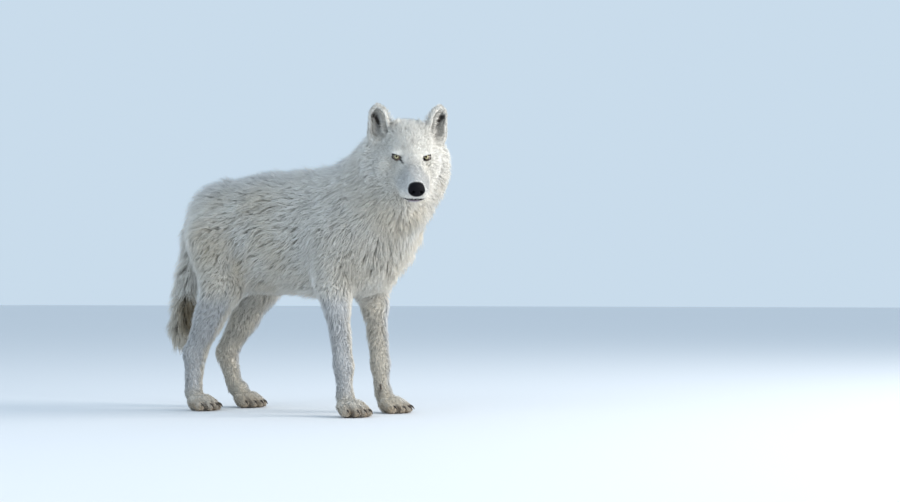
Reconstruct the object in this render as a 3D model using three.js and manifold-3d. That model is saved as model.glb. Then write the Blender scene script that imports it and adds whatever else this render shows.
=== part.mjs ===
// A standing arctic wolf, life size, as a museum model: the outer surface of its winter coat, parted with
// thin cuts into trunk, neck, head, jaw, ears, tail and legs, with eyes, nose and claws as their own solids.
//
// The animal is described as masses of flesh and coat that flow into each other. Each mass is a lump or a
// tapering limb between two landmarks. A field gives the distance from any point to the surface of all of
// them together, and every solid is a mesh of that field, cut by planes and ovals where the next part starts.
//
// Millimetres. x runs forward along the spine, y to the wolf's left, z up from the floor.

import * as THREE from "three";
import { mergeVertices } from "three/addons/utils/BufferGeometryUtils.js";
import Module from "manifold-3d";

const wasm = await Module();
wasm.setup();

// ------------------------------------------------------------------------------ driving sizes

const GAP = 0.4; // between neighbouring solids
const HALF_GAP = GAP / 2;
const FAR = 2000; // reach of a cutting block past the body

// Trunk, over the coat: centres of its masses and half their height
const RUMP = [-272, 0, 582];
const RUMP_GIRTH = 156;
const LOIN = [-120, 0, 562];
const LOIN_GIRTH = 192;
const RIBS = [40, 0, 558];
const RIBS_GIRTH = 198;
const CHEST = [216, 0, 562];
const CHEST_GIRTH = 204;
const TRUNK_WIDE = 0.76; // width of the trunk over its height

// Neck and its ruff, turned to the right towards the head
const NECK_ROOT = [250, 0, 640];
const NECK_ROOT_GIRTH = 150;
const NAPE = [385, -58, 756];
const NAPE_GIRTH = 123;
const THROAT = [404, -50, 662];
const THROAT_GIRTH = 116;

// Tail, hanging: centre of each station and its half thickness over the coat
const TAIL = [
  [[-370, 0, 640], 42],
  [[-424, 0, 545], 44],
  [[-452, 0, 430], 46],
  [[-474, 0, 320], 44],
  [[-486, 0, 240], 36],
  [[-492, 0, 184], 16],
];

// Legs: the height of each joint and its half thickness over the coat
const FORE = {
  shoulder: { x: 205, out: 80, z: 545, girth: 92 },
  elbow: { x: 194, out: 102, z: 404, girth: 60 },
  forearm: { x: 212, out: 105, z: 330, girth: 41 },
  wrist: { x: 236, out: 106, z: 150, girth: 27 },
  pastern: { x: 240, out: 107, z: 62, girth: 25 },
  paw: { x: 246, out: 107, z: 0, girth: 0 },
};
const HIND = {
  hip: { x: -272, out: 66, z: 535, girth: 112 },
  stifle: { x: -228, out: 96, z: 408, girth: 76 },
  shank: { x: -284, out: 100, z: 290, girth: 47 },
  hock: { x: -340, out: 102, z: 180, girth: 34 },
  pastern: { x: -345, out: 104, z: 60, girth: 26 },
  paw: { x: -339, out: 104, z: 0, girth: 0 },
};
// how far forward of its fellow each joint of a left leg stands
const LEFT_FORWARD = {
  fore: { forearm: -4, wrist: -8, pastern: -6, paw: 0 },
  hind: { shank: -16, hock: -34, pastern: 6, paw: 26 },
};
const SIDES = { right: -1, left: 1 };

// Paws, seen from above the pastern: toes run forward, and each paw turns out by its own angle
const TOE_OUT = { fore_right: 24, fore_left: -8, hind_right: 6, hind_left: -14 }; // degrees, to its own side
const PAW_LENGTH = 104;
const PAW_SPREAD = 25; // between the middle lines of neighbouring toes, at their tips
const CUFF = 66; // height of the top of the paws' nodes

// Head: its own frame lies midway between the eyes, x to the nose, y left, z up, turned and bowed on the neck
const EYE_LINE = [509, -157, 765];
const HEAD_TURN = -48; // degrees about z, to the wolf's right
const HEAD_BOW = 25; // degrees nose down
const EYE_APART = 44; // half the distance between the eyes
const EYE_RADIUS = 12.5;

// ------------------------------------------------------------------------------ masses and fields

const mix = (a, b, t) => a + (b - a) * t;
const clamp01 = (t) => Math.min(1, Math.max(0, t));

// A limb: a round bar from one landmark to another, tapering from one half thickness to the other.
// wide is its width along y over its height.
function limb(from, to, fromGirth, toGirth, wide = 1) {
  const [ax, ay, az] = from;
  const [dx, dy, dz] = to.map((v, i) => v - from[i]);
  const length2 = dx * dx + dy * dy + dz * dz;
  return (x, y, z) => {
    const t = clamp01(((x - ax) * dx + (y - ay) * dy + (z - az) * dz) / length2);
    const offX = x - ax - t * dx;
    const offY = (y - ay - t * dy) / wide;
    const offZ = z - az - t * dz;
    const girth = mix(fromGirth, toGirth, t);
    return (Math.sqrt(offX * offX + offY * offY + offZ * offZ) - girth) * Math.min(1, wide);
  };
}

// A lump: an ellipsoid about a landmark, with a half size along each axis.
function lump([cx, cy, cz], [rx, ry, rz]) {
  return (x, y, z) => {
    const px = (x - cx) / rx;
    const py = (y - cy) / ry;
    const pz = (z - cz) / rz;
    const share = Math.sqrt(px * px + py * py + pz * pz);
    const slope = Math.sqrt((px / rx) ** 2 + (py / ry) ** 2 + (pz / rz) ** 2);
    return slope < 1e-9 ? -Math.min(rx, ry, rz) : (share * (share - 1)) / slope;
  };
}

// Masses that flow into each other over a distance of soft.
function flowing(soft, ...fields) {
  return (x, y, z) => {
    let d = fields[0](x, y, z);
    for (let i = 1; i < fields.length; i++) {
      const e = fields[i](x, y, z);
      const near = Math.max(soft - Math.abs(d - e), 0) / soft;
      d = Math.min(d, e) - (near * near * soft) / 4;
    }
    return d;
  };
}

// A field with a hollow pressed into it, its rim rounded over a distance of soft.
function hollowed(soft, field, ...hollows) {
  return (x, y, z) => {
    let d = field(x, y, z);
    for (const hollow of hollows) {
      const e = -hollow(x, y, z);
      const near = Math.max(soft - Math.abs(d - e), 0) / soft;
      d = Math.max(d, e) + (near * near * soft) / 4;
    }
    return d;
  };
}

const grown = (field, by) => (x, y, z) => field(x, y, z) - by;

// A field described in the frame of a placed object.
function within(place, field) {
  place.updateMatrixWorld(true);
  const e = place.matrixWorld.clone().invert().elements;
  return (x, y, z) =>
    field(
      e[0] * x + e[4] * y + e[8] * z + e[12],
      e[1] * x + e[5] * y + e[9] * z + e[13],
      e[2] * x + e[6] * y + e[10] * z + e[14],
    );
}

function placed(position, turnDegrees = 0, bowDegrees = 0) {
  const place = new THREE.Object3D();
  place.position.set(...position);
  place.rotation.order = "ZYX";
  place.rotation.set(0, THREE.MathUtils.degToRad(bowDegrees), THREE.MathUtils.degToRad(turnDegrees));
  return place;
}

// ------------------------------------------------------------------------------ trunk, neck and tail

const TRUNK_SOFT = 26;
const NECK_SOFT = 50;

const torso = flowing(
  TRUNK_SOFT,
  limb(RUMP, LOIN, RUMP_GIRTH, LOIN_GIRTH, TRUNK_WIDE),
  limb(LOIN, RIBS, LOIN_GIRTH, RIBS_GIRTH, TRUNK_WIDE),
  limb(RIBS, CHEST, RIBS_GIRTH, CHEST_GIRTH, TRUNK_WIDE),
);

const neck = flowing(
  NECK_SOFT,
  limb(NECK_ROOT, NAPE, NECK_ROOT_GIRTH, NAPE_GIRTH, 0.9),
  limb(CHEST, THROAT, CHEST_GIRTH * 0.7, THROAT_GIRTH),
);

const tail = flowing(
  20,
  ...TAIL.slice(1).map(([to, girth], i) => limb(TAIL[i][0], to, TAIL[i][1], girth)),
);

// ------------------------------------------------------------------------------ legs and paws

const LEGS = {};
for (const [name, side] of Object.entries(SIDES)) {
  LEGS[`fore_${name}`] = { joints: FORE, side, forward: name === "left" ? LEFT_FORWARD.fore : {} };
  LEGS[`hind_${name}`] = { joints: HIND, side, forward: name === "left" ? LEFT_FORWARD.hind : {} };
}

function joint({ joints, side, forward }, name) {
  const { x, out, z } = joints[name];
  return [x + (forward[name] ?? 0), side * out, z];
}

// The masses of a leg run from joint to joint down to its pastern.
function legMasses(leg) {
  const names = Object.keys(leg.joints).filter((name) => name !== "paw");
  const masses = names.slice(1).map((name, i) => {
    const above = names[i];
    return limb(joint(leg, above), joint(leg, name), leg.joints[above].girth, leg.joints[name].girth);
  });
  return flowing(26, ...masses);
}

// A paw in its own frame: origin on the floor under the pastern, x to the toes. Four toes fan out.
const TOES = [-1.5, -0.5, 0.5, 1.5];
const TOE_GIRTH = 17;
const TOE_HEIGHT = 13; // of the middle of its end: the pad below it is pressed flat on the floor
const BALL = [18, 0, 20];

function toeLine(i) {
  const outer = Math.abs(TOES[i]) > 1;
  const reach = PAW_LENGTH - 30 - (outer ? 14 : 0);
  const across = TOES[i] * PAW_SPREAD;
  return { knuckle: [reach - 38, across * 0.8, 33], tip: [reach, across, TOE_HEIGHT], turn: TOES[i] * 7 };
}

function paw() {
  const toes = TOES.map((_, i) => {
    const { knuckle, tip } = toeLine(i);
    return limb(knuckle, tip, TOE_GIRTH + 2, TOE_GIRTH - 1);
  });
  return flowing(
    9,
    limb([-4, 0, 60], [4, 0, 34], 26, 29),
    lump(BALL, [34, 34, 26]),
    ...toes,
  );
}

for (const [name, leg] of Object.entries(LEGS)) leg.paw = placed(joint(leg, "paw"), leg.side * TOE_OUT[name]);

// ------------------------------------------------------------------------------ head

const HEAD_PLACE = placed(EYE_LINE, HEAD_TURN, HEAD_BOW);
const both = (make) => [make(1), make(-1)];

const face = flowing(
  16,
  lump([-82, 0, 10], [88, 76, 72]), // cranium
  limb([-70, 0, 26], [2, 0, -14], 54, 40), // forehead
  ...both((s) => lump([-14, s * 42, 10], [26, 21, 14])), // brow ridges
  limb([-6, 0, -28], [104, 0, -49], 38, 27), // bridge of the muzzle
  ...both((s) => limb([-10, s * 26, -56], [94, s * 16, -71], 33, 24)), // lips
  ...both((s) => lump([-60, s * 60, -42], [58, 44, 56])), // cheek bones and chewing muscles
);

const jaw = flowing(16, limb([-40, 0, -90], [86, 0, -90], 34, 16), lump([-62, 0, -108], [70, 66, 44]));

const ruff = flowing(
  24,
  ...both((s) => lump([-104, s * 84, -72], [56, 62, 110])), // cheek ruff
  lump([-116, 0, -80], [60, 96, 100]),
);

const orbits = both((s) => lump([20, s * 46, 0], [15, 15, 9]));

const headMasses = hollowed(6, flowing(22, face, jaw, ruff), ...orbits);

const head = within(HEAD_PLACE, headMasses);

// An ear in its own frame: origin at the middle of its base, z to the tip, x out of its cup.
const EAR = { apart: 80, back: -92, up: 44, length: 89, lean: 12, face: 22, tilt: -6 };

const earShape = hollowed(
  5,
  flowing(10, limb([0, 0, -8], [-4, 0, EAR.length - 16], 40, 13), limb([0, 0, 0], [-2, 0, 50], 39, 31)),
  limb([38, 0, 0], [26, 0, EAR.length - 22], 42, 14),
);

function earPlace(side) {
  const ear = new THREE.Object3D();
  ear.position.set(EAR.back, side * EAR.apart, EAR.up);
  ear.rotation.order = "ZXY";
  ear.rotation.set(
    -side * THREE.MathUtils.degToRad(EAR.lean),
    THREE.MathUtils.degToRad(EAR.tilt),
    side * THREE.MathUtils.degToRad(EAR.face),
  );
  ear.scale.set(0.55, 1, 1);
  HEAD_PLACE.add(ear);
  return ear;
}
const ears = Object.fromEntries(Object.entries(SIDES).map(([name, side]) => [name, earPlace(side)]));

const noseShape = hollowed(
  2,
  flowing(8, lump([124, 0, -55], [15, 23, 19]), lump([118, 0, -46], [17, 19, 14])),
  ...both((s) => lump([136, s * 12, -56], [9, 5, 5])),
);
const nose = within(HEAD_PLACE, noseShape);

// ------------------------------------------------------------------------------ meshing and cutting

// The lines of a grid along one axis: from a start through stretches, each with its end and its cell size.
function stepped(start, ...stretches) {
  const out = [start];
  for (const [end, cell] of stretches) {
    const from = out.at(-1);
    const count = Math.max(1, Math.round((end - from) / cell));
    for (let i = 1; i <= count; i++) out.push(mix(from, end, i / count));
  }
  return out;
}

const grid = (low, high, cell) => low.map((v, i) => stepped(v, [high[i], cell[i]]));

// Turns a field into a closed mesh over a grid, given as its lines along each axis: one vertex in each cell
// that the surface crosses, moved onto the surface, and two triangles round each grid edge that it crosses.
function meshOf(field, [xs, ys, zs]) {
  const n = [xs.length, ys.length, zs.length];
  const at = (i, j, k) => (k * n[1] + j) * n[0] + i;
  const value = new Float32Array(n[0] * n[1] * n[2]);
  for (let k = 0; k < n[2]; k++)
    for (let j = 0; j < n[1]; j++)
      for (let i = 0; i < n[0]; i++) {
        const onEdge = !i || !j || !k || i === n[0] - 1 || j === n[1] - 1 || k === n[2] - 1;
        const d = field(xs[i], ys[j], zs[k]);
        value[at(i, j, k)] = onEdge ? Math.max(d, 1) : d;
      }

  const corners = [0, 1, 2, 3, 4, 5, 6, 7].map((c) => [c & 1, (c >> 1) & 1, (c >> 2) & 1]);
  const edges = [];
  for (let a = 0; a < 8; a++)
    for (let b = a + 1; b < 8; b++) if ([1, 2, 4].includes(a ^ b)) edges.push([a, b]);

  const vertexOf = new Int32Array(value.length).fill(-1);
  const points = [];
  for (let k = 0; k < n[2] - 1; k++)
    for (let j = 0; j < n[1] - 1; j++)
      for (let i = 0; i < n[0] - 1; i++) {
        const v = corners.map(([a, b, c]) => value[at(i + a, j + b, k + c)]);
        const sum = [0, 0, 0];
        let crossed = 0;
        for (const [a, b] of edges) {
          if (v[a] < 0 === v[b] < 0) continue;
          const t = v[a] / (v[a] - v[b]);
          for (let m = 0; m < 3; m++) sum[m] += mix(corners[a][m], corners[b][m], t);
          crossed++;
        }
        if (!crossed) continue;
        vertexOf[at(i, j, k)] = points.length / 3;
        const point = [
          mix(xs[i], xs[i + 1], sum[0] / crossed),
          mix(ys[j], ys[j + 1], sum[1] / crossed),
          mix(zs[k], zs[k + 1], sum[2] / crossed),
        ];
        const cell = Math.min(xs[i + 1] - xs[i], ys[j + 1] - ys[j], zs[k + 1] - zs[k]);
        points.push(...settled(field, point, cell));
      }

  const faces = [];
  const apart = (p, q) => Math.hypot(...[0, 1, 2].map((m) => points[3 * p + m] - points[3 * q + m]));
  const quad = (a, b, c, d, flip) => {
    const [q0, q1, q2, q3] = flip ? [d, c, b, a] : [a, b, c, d];
    if (apart(q0, q2) < apart(q1, q3)) faces.push(q0, q1, q2, q0, q2, q3);
    else faces.push(q0, q1, q3, q1, q2, q3);
  };
  for (let k = 0; k < n[2] - 1; k++)
    for (let j = 0; j < n[1] - 1; j++)
      for (let i = 0; i < n[0] - 1; i++) {
        const inside = value[at(i, j, k)] < 0;
        const cellAt = (a, b, c) => vertexOf[at(i - a, j - b, k - c)];
        if (j && k && value[at(i + 1, j, k)] < 0 !== inside)
          quad(cellAt(0, 0, 0), cellAt(0, 1, 0), cellAt(0, 1, 1), cellAt(0, 0, 1), !inside);
        if (i && k && value[at(i, j + 1, k)] < 0 !== inside)
          quad(cellAt(0, 0, 0), cellAt(0, 0, 1), cellAt(1, 0, 1), cellAt(1, 0, 0), !inside);
        if (i && j && value[at(i, j, k + 1)] < 0 !== inside)
          quad(cellAt(0, 0, 0), cellAt(1, 0, 0), cellAt(1, 1, 0), cellAt(0, 1, 0), !inside);
      }
  return new THREE.BufferGeometry()
    .setAttribute("position", new THREE.BufferAttribute(new Float32Array(points), 3))
    .setIndex(faces);
}

// A vertex moved along the field's slope onto its surface, where that is no more than half a cell away.
function settled(field, [x, y, z], cell) {
  const step = cell * 0.05;
  for (let round = 0; round < 3; round++) {
    const d = field(x, y, z);
    if (Math.abs(d) > cell * 0.5) break;
    const slope = [
      (field(x + step, y, z) - field(x - step, y, z)) / (2 * step),
      (field(x, y + step, z) - field(x, y - step, z)) / (2 * step),
      (field(x, y, z + step) - field(x, y, z - step)) / (2 * step),
    ];
    const steep = slope.reduce((sum, g) => sum + g * g, 0) || 1;
    x -= (d * slope[0]) / steep;
    y -= (d * slope[1]) / steep;
    z -= (d * slope[2]) / steep;
  }
  return [x, y, z];
}

function solidOf(geometry) {
  const bare = geometry.clone();
  bare.deleteAttribute("normal");
  bare.deleteAttribute("uv");
  const merged = mergeVertices(bare, 1e-4);
  return new wasm.Manifold(
    new wasm.Mesh({
      numProp: 3,
      vertProperties: merged.attributes.position.array,
      triVerts: new Uint32Array(merged.index.array),
    }),
  );
}

function geometryOf(solid) {
  const { vertProperties, triVerts, numProp } = solid.getMesh();
  const count = vertProperties.length / numProp;
  const positions = new Float32Array(count * 3);
  for (let i = 0; i < count; i++)
    positions.set(vertProperties.subarray(i * numProp, i * numProp + 3), 3 * i);
  const geometry = new THREE.BufferGeometry()
    .setAttribute("position", new THREE.BufferAttribute(positions, 3))
    .setIndex(new THREE.BufferAttribute(new Uint32Array(triVerts), 1));
  geometry.computeVertexNormals();
  return geometry;
}

// The block of space on the far side of a plane through a point, in the direction given, less half a gap.
function beyond(point, direction) {
  const forward = new THREE.Vector3(...direction).normalize();
  const block = new THREE.BoxGeometry(FAR, FAR, FAR);
  const turn = new THREE.Quaternion().setFromUnitVectors(new THREE.Vector3(0, 0, 1), forward);
  const centre = new THREE.Vector3(...point).addScaledVector(forward, FAR / 2 + HALF_GAP);
  block.applyMatrix4(new THREE.Matrix4().compose(centre, turn, new THREE.Vector3(1, 1, 1)));
  return solidOf(block);
}

// An oval seen from the side, run outwards from a distance off the midline.
function sideOval({ x, z, long, high, inner }, side, more = 0) {
  const reach = FAR / 4;
  const oval = new THREE.CylinderGeometry(1, 1, reach, 16);
  oval.scale(long + more, 1, high + more);
  oval.translate(x, side * (inner - more + reach / 2), z);
  return solidOf(oval);
}

// A block seen from the side, from under the floor up to its top, run outwards like the oval.
function sideBlock({ rear, front, top, inner }, side, more = 0) {
  const reach = FAR / 4;
  const foot = -60;
  const block = new THREE.BoxGeometry(front - rear + 2 * more, reach, top - foot + more);
  block.translate((rear + front) / 2, side * (inner - more + reach / 2), (top + more + foot) / 2);
  return solidOf(block);
}

const shifted = (point, along, by) => {
  const unit = new THREE.Vector3(...along).normalize();
  return new THREE.Vector3(...point).addScaledVector(unit, by).toArray();
};

// A solid of a field over a grid laid out in the frame of a placed object, or in the wolf's own.
function body(field, gridLines, place = new THREE.Object3D()) {
  place.updateMatrixWorld(true);
  const e = place.matrixWorld.elements;
  const inPlace = (x, y, z) =>
    field(
      e[0] * x + e[4] * y + e[8] * z + e[12],
      e[1] * x + e[5] * y + e[9] * z + e[13],
      e[2] * x + e[6] * y + e[10] * z + e[14],
    );
  return solidOf(meshOf(inPlace, gridLines).applyMatrix4(place.matrixWorld));
}

// ------------------------------------------------------------------------------ the parted solids

const wolf = new THREE.Group();
wolf.name = "arctic_wolf";

const COAT = new THREE.MeshStandardMaterial({ color: 0xd9d5cc, roughness: 0.9, metalness: 0 });
const NOSE_LEATHER = new THREE.MeshStandardMaterial({ color: 0x141416, roughness: 0.45, metalness: 0 });
const EYE = new THREE.MeshStandardMaterial({ color: 0x9c8a3e, roughness: 0.1, metalness: 0 });
const CLAW = new THREE.MeshStandardMaterial({ color: 0x2b2622, roughness: 0.5, metalness: 0 });

function add(name, solid, material) {
  const mesh = new THREE.Mesh(geometryOf(solid), material);
  mesh.name = name;
  wolf.add(mesh);
  return solid;
}

const worldPoint = (place, local) => new THREE.Vector3(...local).applyMatrix4(place.matrixWorld).toArray();

const worldDirection = (place, local) =>
  new THREE.Vector3(...local).transformDirection(place.matrixWorld).toArray();

const reversed = (v) => v.map((c) => -c);

for (const leg of Object.values(LEGS)) leg.field = flowing(12, legMasses(leg), within(leg.paw, paw()));
const wholeCoat = flowing(
  44,
  flowing(NECK_SOFT, torso, neck),
  ...Object.values(LEGS).map((leg) => leg.field),
);
const withHead = flowing(30, wholeCoat, head);

// ------------------------------------------------------------------------------ trunk and tail

// Where the legs part from the trunk: an oval over the shoulder or hip, and a block below it
const FORE_CUT = { x: 208, z: 425, long: 112, high: 152, inner: 52 };
const FORE_BLOCK = { rear: 90, front: 420, top: 322, inner: 30 };
const HIND_CUT = { x: -268, z: 458, long: 164, high: 184, inner: 50 };
const HIND_BLOCK = { rear: -470, front: -80, top: 330, inner: 42 };

const NECK_CUT = { point: [262, 0, 640], forward: [0.8, -0.05, 0.6] };
const neckSide = beyond(NECK_CUT.point, NECK_CUT.forward);
const trunkSide = beyond(NECK_CUT.point, reversed(NECK_CUT.forward));

const TAIL_CUT = { root: [-418, 0, 590], back: [-1, 0, 0.1], under: [-378, 0, 505], down: [-0.55, 0, -0.84] };
const TAIL_HALF = 58; // half the width of the slot that the tail comes out of
function tailSpace(more) {
  const behind = beyond(shifted(TAIL_CUT.root, TAIL_CUT.back, -more), TAIL_CUT.back);
  const beneath = beyond(shifted(TAIL_CUT.under, TAIL_CUT.down, -more), TAIL_CUT.down);
  const slab = solidOf(new THREE.BoxGeometry(FAR, 2 * (TAIL_HALF + more), FAR));
  return behind.add(beneath).intersect(slab);
}

// One mesh of the whole coat gives the trunk, neck, upper arms and thighs, so that they meet flush.
const coatGrid = [
  stepped(-560, [-420, 35], [60, 56], [640, 46]),
  stepped(-330, [-216, 38], [216, 43]),
  stepped(250, [440, 38], [980, 50]),
];
const coat = body(flowing(44, withHead, tail), coatGrid);

let trunk = coat.intersect(trunkSide).subtract(tailSpace(GAP));
for (const side of Object.values(SIDES)) {
  trunk = trunk
    .subtract(sideOval(FORE_CUT, side, HALF_GAP))
    .subtract(sideBlock(FORE_BLOCK, side, HALF_GAP))
    .subtract(sideOval(HIND_CUT, side, HALF_GAP))
    .subtract(sideBlock(HIND_BLOCK, side, HALF_GAP));
}
add("trunk", trunk, COAT);

const tailGrid = grid([-580, -104, 130], [-340, 104, 760], [28, 26, 52]);
add("tail", body(flowing(44, torso, tail), tailGrid).intersect(tailSpace(0)), COAT);

// ------------------------------------------------------------------------------ legs

const aboveCuff = beyond([0, 0, CUFF], [0, 0, 1]);
const belowCuff = beyond([0, 0, CUFF], [0, 0, -1]);
const ELBOW_CUT = { point: [200, 0, 345], down: [0.1, 0, -1] };
const STIFLE_CUT = { point: [-240, 0, 345], down: [-0.55, 0, -1] };

// A leg's two lengths, above and below the cut across its elbow or stifle
const LENGTHS = {
  upper_arm: { oval: FORE_CUT, block: FORE_BLOCK, across: ELBOW_CUT },
  forearm: { oval: FORE_CUT, block: FORE_BLOCK, across: ELBOW_CUT, rear: 120, front: 340, top: 415, cell: 19.5 },
  thigh: { oval: HIND_CUT, block: HIND_BLOCK, across: STIFLE_CUT },
  shank: { oval: HIND_CUT, block: HIND_BLOCK, across: STIFLE_CUT, rear: -470, front: -120, top: 440, cell: 22.5 },
};
const LEG_INNER = 34;
const LEG_OUTER = 196;

function legLength({ oval, block, across, rear, front, top, cell }, side) {
  const legSpace = sideOval(oval, side, -HALF_GAP).add(sideBlock(block, side, -HALF_GAP));
  if (!cell) {
    const upper = coat.intersect(legSpace).subtract(tailSpace(GAP));
    return upper.intersect(beyond(across.point, reversed(across.down)));
  }
  const [near, far] = side > 0 ? [LEG_INNER, LEG_OUTER] : [-LEG_OUTER, -LEG_INNER];
  const legGrid = [
    stepped(rear, [front, cell]),
    stepped(near, [far, cell]),
    stepped(CUFF - 30, [CUFF + 26, 28], [top, 3 * cell]),
  ];
  const lower = body(wholeCoat, legGrid).intersect(legSpace);
  return lower.intersect(beyond(across.point, across.down)).intersect(aboveCuff);
}

const lengths = {};
for (const [name, side] of Object.entries(SIDES))
  for (const [length, sizes] of Object.entries(LENGTHS))
    lengths[`${length}_${name}`] = legLength(sizes, side);

// ------------------------------------------------------------------------------ paws and claws

const CLAW_LONG = 20;
const CLAW_GIRTH = 4.4;
const CLAW_TIP = 0.8;
const CLAW_SIDES = 4;
const CLAW_STATIONS = 2;
const CLAW_FLAT = 0.72; // width over depth

// A curved cone in its own frame: root at the origin, x forward, its tip turned down
function clawGeometry(more) {
  const hook = new THREE.CatmullRomCurve3([
    new THREE.Vector3(-6, 0, 4),
    new THREE.Vector3(6, 0, 3.4),
    new THREE.Vector3(CLAW_LONG * 0.65, 0, 0),
    new THREE.Vector3(CLAW_LONG, 0, -7),
  ]);
  const positions = [];
  const index = [];
  for (let s = 0; s <= CLAW_STATIONS; s++) {
    const t = s / CLAW_STATIONS;
    const centre = hook.getPoint(t);
    const ahead = hook.getTangent(t);
    const girth = mix(CLAW_GIRTH, CLAW_TIP, t ** 1.3) + more;
    for (let c = 0; c < CLAW_SIDES; c++) {
      const angle = (2 * Math.PI * c) / CLAW_SIDES;
      positions.push(
        centre.x - ahead.z * Math.sin(angle) * girth,
        centre.y + Math.cos(angle) * girth * CLAW_FLAT,
        centre.z + ahead.x * Math.sin(angle) * girth,
      );
    }
  }
  for (let s = 0; s < CLAW_STATIONS; s++)
    for (let c = 0; c < CLAW_SIDES; c++) {
      const a = s * CLAW_SIDES + c;
      const b = s * CLAW_SIDES + ((c + 1) % CLAW_SIDES);
      index.push(a, b, b + CLAW_SIDES, a, b + CLAW_SIDES, a + CLAW_SIDES);
    }
  const last = CLAW_STATIONS * CLAW_SIDES;
  for (let c = 1; c < CLAW_SIDES - 1; c++) index.push(0, c + 1, c, last, last + c, last + c + 1);
  return new THREE.BufferGeometry()
    .setAttribute("position", new THREE.BufferAttribute(new Float32Array(positions), 3))
    .setIndex(index);
}

function claw(seat, more = 0) {
  seat.updateWorldMatrix(true, false);
  return solidOf(clawGeometry(more).applyMatrix4(seat.matrixWorld));
}

const onFloor = beyond([0, 0, -HALF_GAP], [0, 0, 1]);
// its lines run between the toes and along them
const pawGrid = grid([-62, -2.75 * PAW_SPREAD, -20], [130, 2.75 * PAW_SPREAD, 100], [24, PAW_SPREAD / 2, 17]);

for (const [name, leg] of Object.entries(LEGS)) {
  let foot = body(leg.field, pawGrid, leg.paw).intersect(onFloor).intersect(belowCuff);
  TOES.forEach((_, i) => {
    const { tip, turn } = toeLine(i);
    const seat = placed([tip[0] + 9, tip[1], tip[2] + 5], turn);
    leg.paw.add(seat);
    foot = foot.subtract(claw(seat, GAP));
    add(`claw_${name}_${i + 1}`, claw(seat), CLAW);
  });
  add(`paw_${name}`, foot, COAT);
}

// A dewclaw hangs on the inner side of each foreleg, above the paw.
const DEWCLAW = { x: 246, out: 86, z: 106, bow: 52, turn: -24 };
for (const [name, side] of Object.entries(SIDES)) {
  const seat = placed([DEWCLAW.x, side * DEWCLAW.out, DEWCLAW.z], side * DEWCLAW.turn, DEWCLAW.bow);
  const forearm = `forearm_${name}`;
  lengths[forearm] = lengths[forearm].subtract(claw(seat, GAP));
  add(`dewclaw_${name}`, claw(seat), CLAW);
}
for (const [name, solid] of Object.entries(lengths)) add(name, solid, COAT);

// ------------------------------------------------------------------------------ neck and head

// The head parts from the neck behind its cheeks and under its jaw.
const HEAD_CUT = { behind: [-128, 0, -30], forward: [0.97, 0, 0.2], below: [0, 0, -130], up: [-0.15, 0, 1] };
const headFront = worldPoint(HEAD_PLACE, HEAD_CUT.behind);
const headForward = worldDirection(HEAD_PLACE, HEAD_CUT.forward);
const headFloor = worldPoint(HEAD_PLACE, HEAD_CUT.below);
const headUp = worldDirection(HEAD_PLACE, HEAD_CUT.up);
const headSpace = beyond(headFront, headForward).intersect(beyond(headFloor, headUp));
const neckSpace = beyond(headFront, reversed(headForward)).add(beyond(headFloor, reversed(headUp)));

add("neck", coat.intersect(neckSide).intersect(neckSpace), COAT);

// finer over the face than over the ruff behind it
const headGrid = [
  stepped(-214, [-56, 30], [164, 14.5]),
  stepped(-200, [-66, 28], [66, 13.2], [200, 28]),
  stepped(-212, [-108, 26], [36, 14.4], [164, 25]),
];
let skull = body(withHead, headGrid, HEAD_PLACE).intersect(headSpace);
const skullGrown = body(grown(withHead, GAP), headGrid, HEAD_PLACE);

const EYE_SET = [-1, EYE_APART, 0]; // centre of the left eyeball in the head's frame
for (const [name, side] of Object.entries(SIDES)) {
  const ball = (more) => {
    const sphere = new THREE.SphereGeometry(EYE_RADIUS + more, 10, 6);
    return solidOf(sphere.translate(...worldPoint(HEAD_PLACE, [EYE_SET[0], side * EYE_SET[1], EYE_SET[2]])));
  };
  skull = skull.subtract(ball(GAP));
  add(`eye_${name}`, ball(0), EYE);
}

// The lower jaw lies below the line of the mouth, from the chin back to its corner.
const MOUTH = { front: [130, 0, -88], corner: [34, 0, -80] };
const JAW_BACK = [1, 0, 0.3]; // the way that faces forward from the back of the jaw
const mouthUp = [MOUTH.corner[2] - MOUTH.front[2], 0, MOUTH.front[0] - MOUTH.corner[0]];
const mouthFront = worldPoint(HEAD_PLACE, MOUTH.front);
const mouthCorner = worldPoint(HEAD_PLACE, MOUTH.corner);
const underMouth = beyond(mouthFront, worldDirection(HEAD_PLACE, reversed(mouthUp)))
  .intersect(beyond(mouthCorner, worldDirection(HEAD_PLACE, JAW_BACK)));
const overMouth = beyond(mouthFront, worldDirection(HEAD_PLACE, mouthUp))
  .add(beyond(mouthCorner, worldDirection(HEAD_PLACE, reversed(JAW_BACK))));
add("lower_jaw", skull.intersect(underMouth), COAT);
add("head", skull.intersect(overMouth), COAT);

const earGrid = grid([-56, -54, -58], [56, 54, 110], [19, 15, 17]);
for (const [name, place] of Object.entries(ears)) {
  add(`ear_${name}`, body(within(place, earShape), earGrid, place).subtract(skullGrown), COAT);
}

const noseGrid = grid([94, -36, -90], [148, 36, -18], [9, 9, 9]);
add("nose", body(nose, noseGrid, HEAD_PLACE).subtract(skullGrown), NOSE_LEATHER);

// The origin is on the floor, under the middle of the box round the whole wolf.
const box = new THREE.Box3().setFromObject(wolf);
const middle = box.getCenter(new THREE.Vector3());
wolf.position.set(-middle.x, -middle.y, -box.min.z);

export default wolf;
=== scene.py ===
"""A standing arctic wolf in its winter coat, life size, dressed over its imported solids."""

import math

import bpy
import numpy as np
from mathutils import Matrix, Vector


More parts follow.
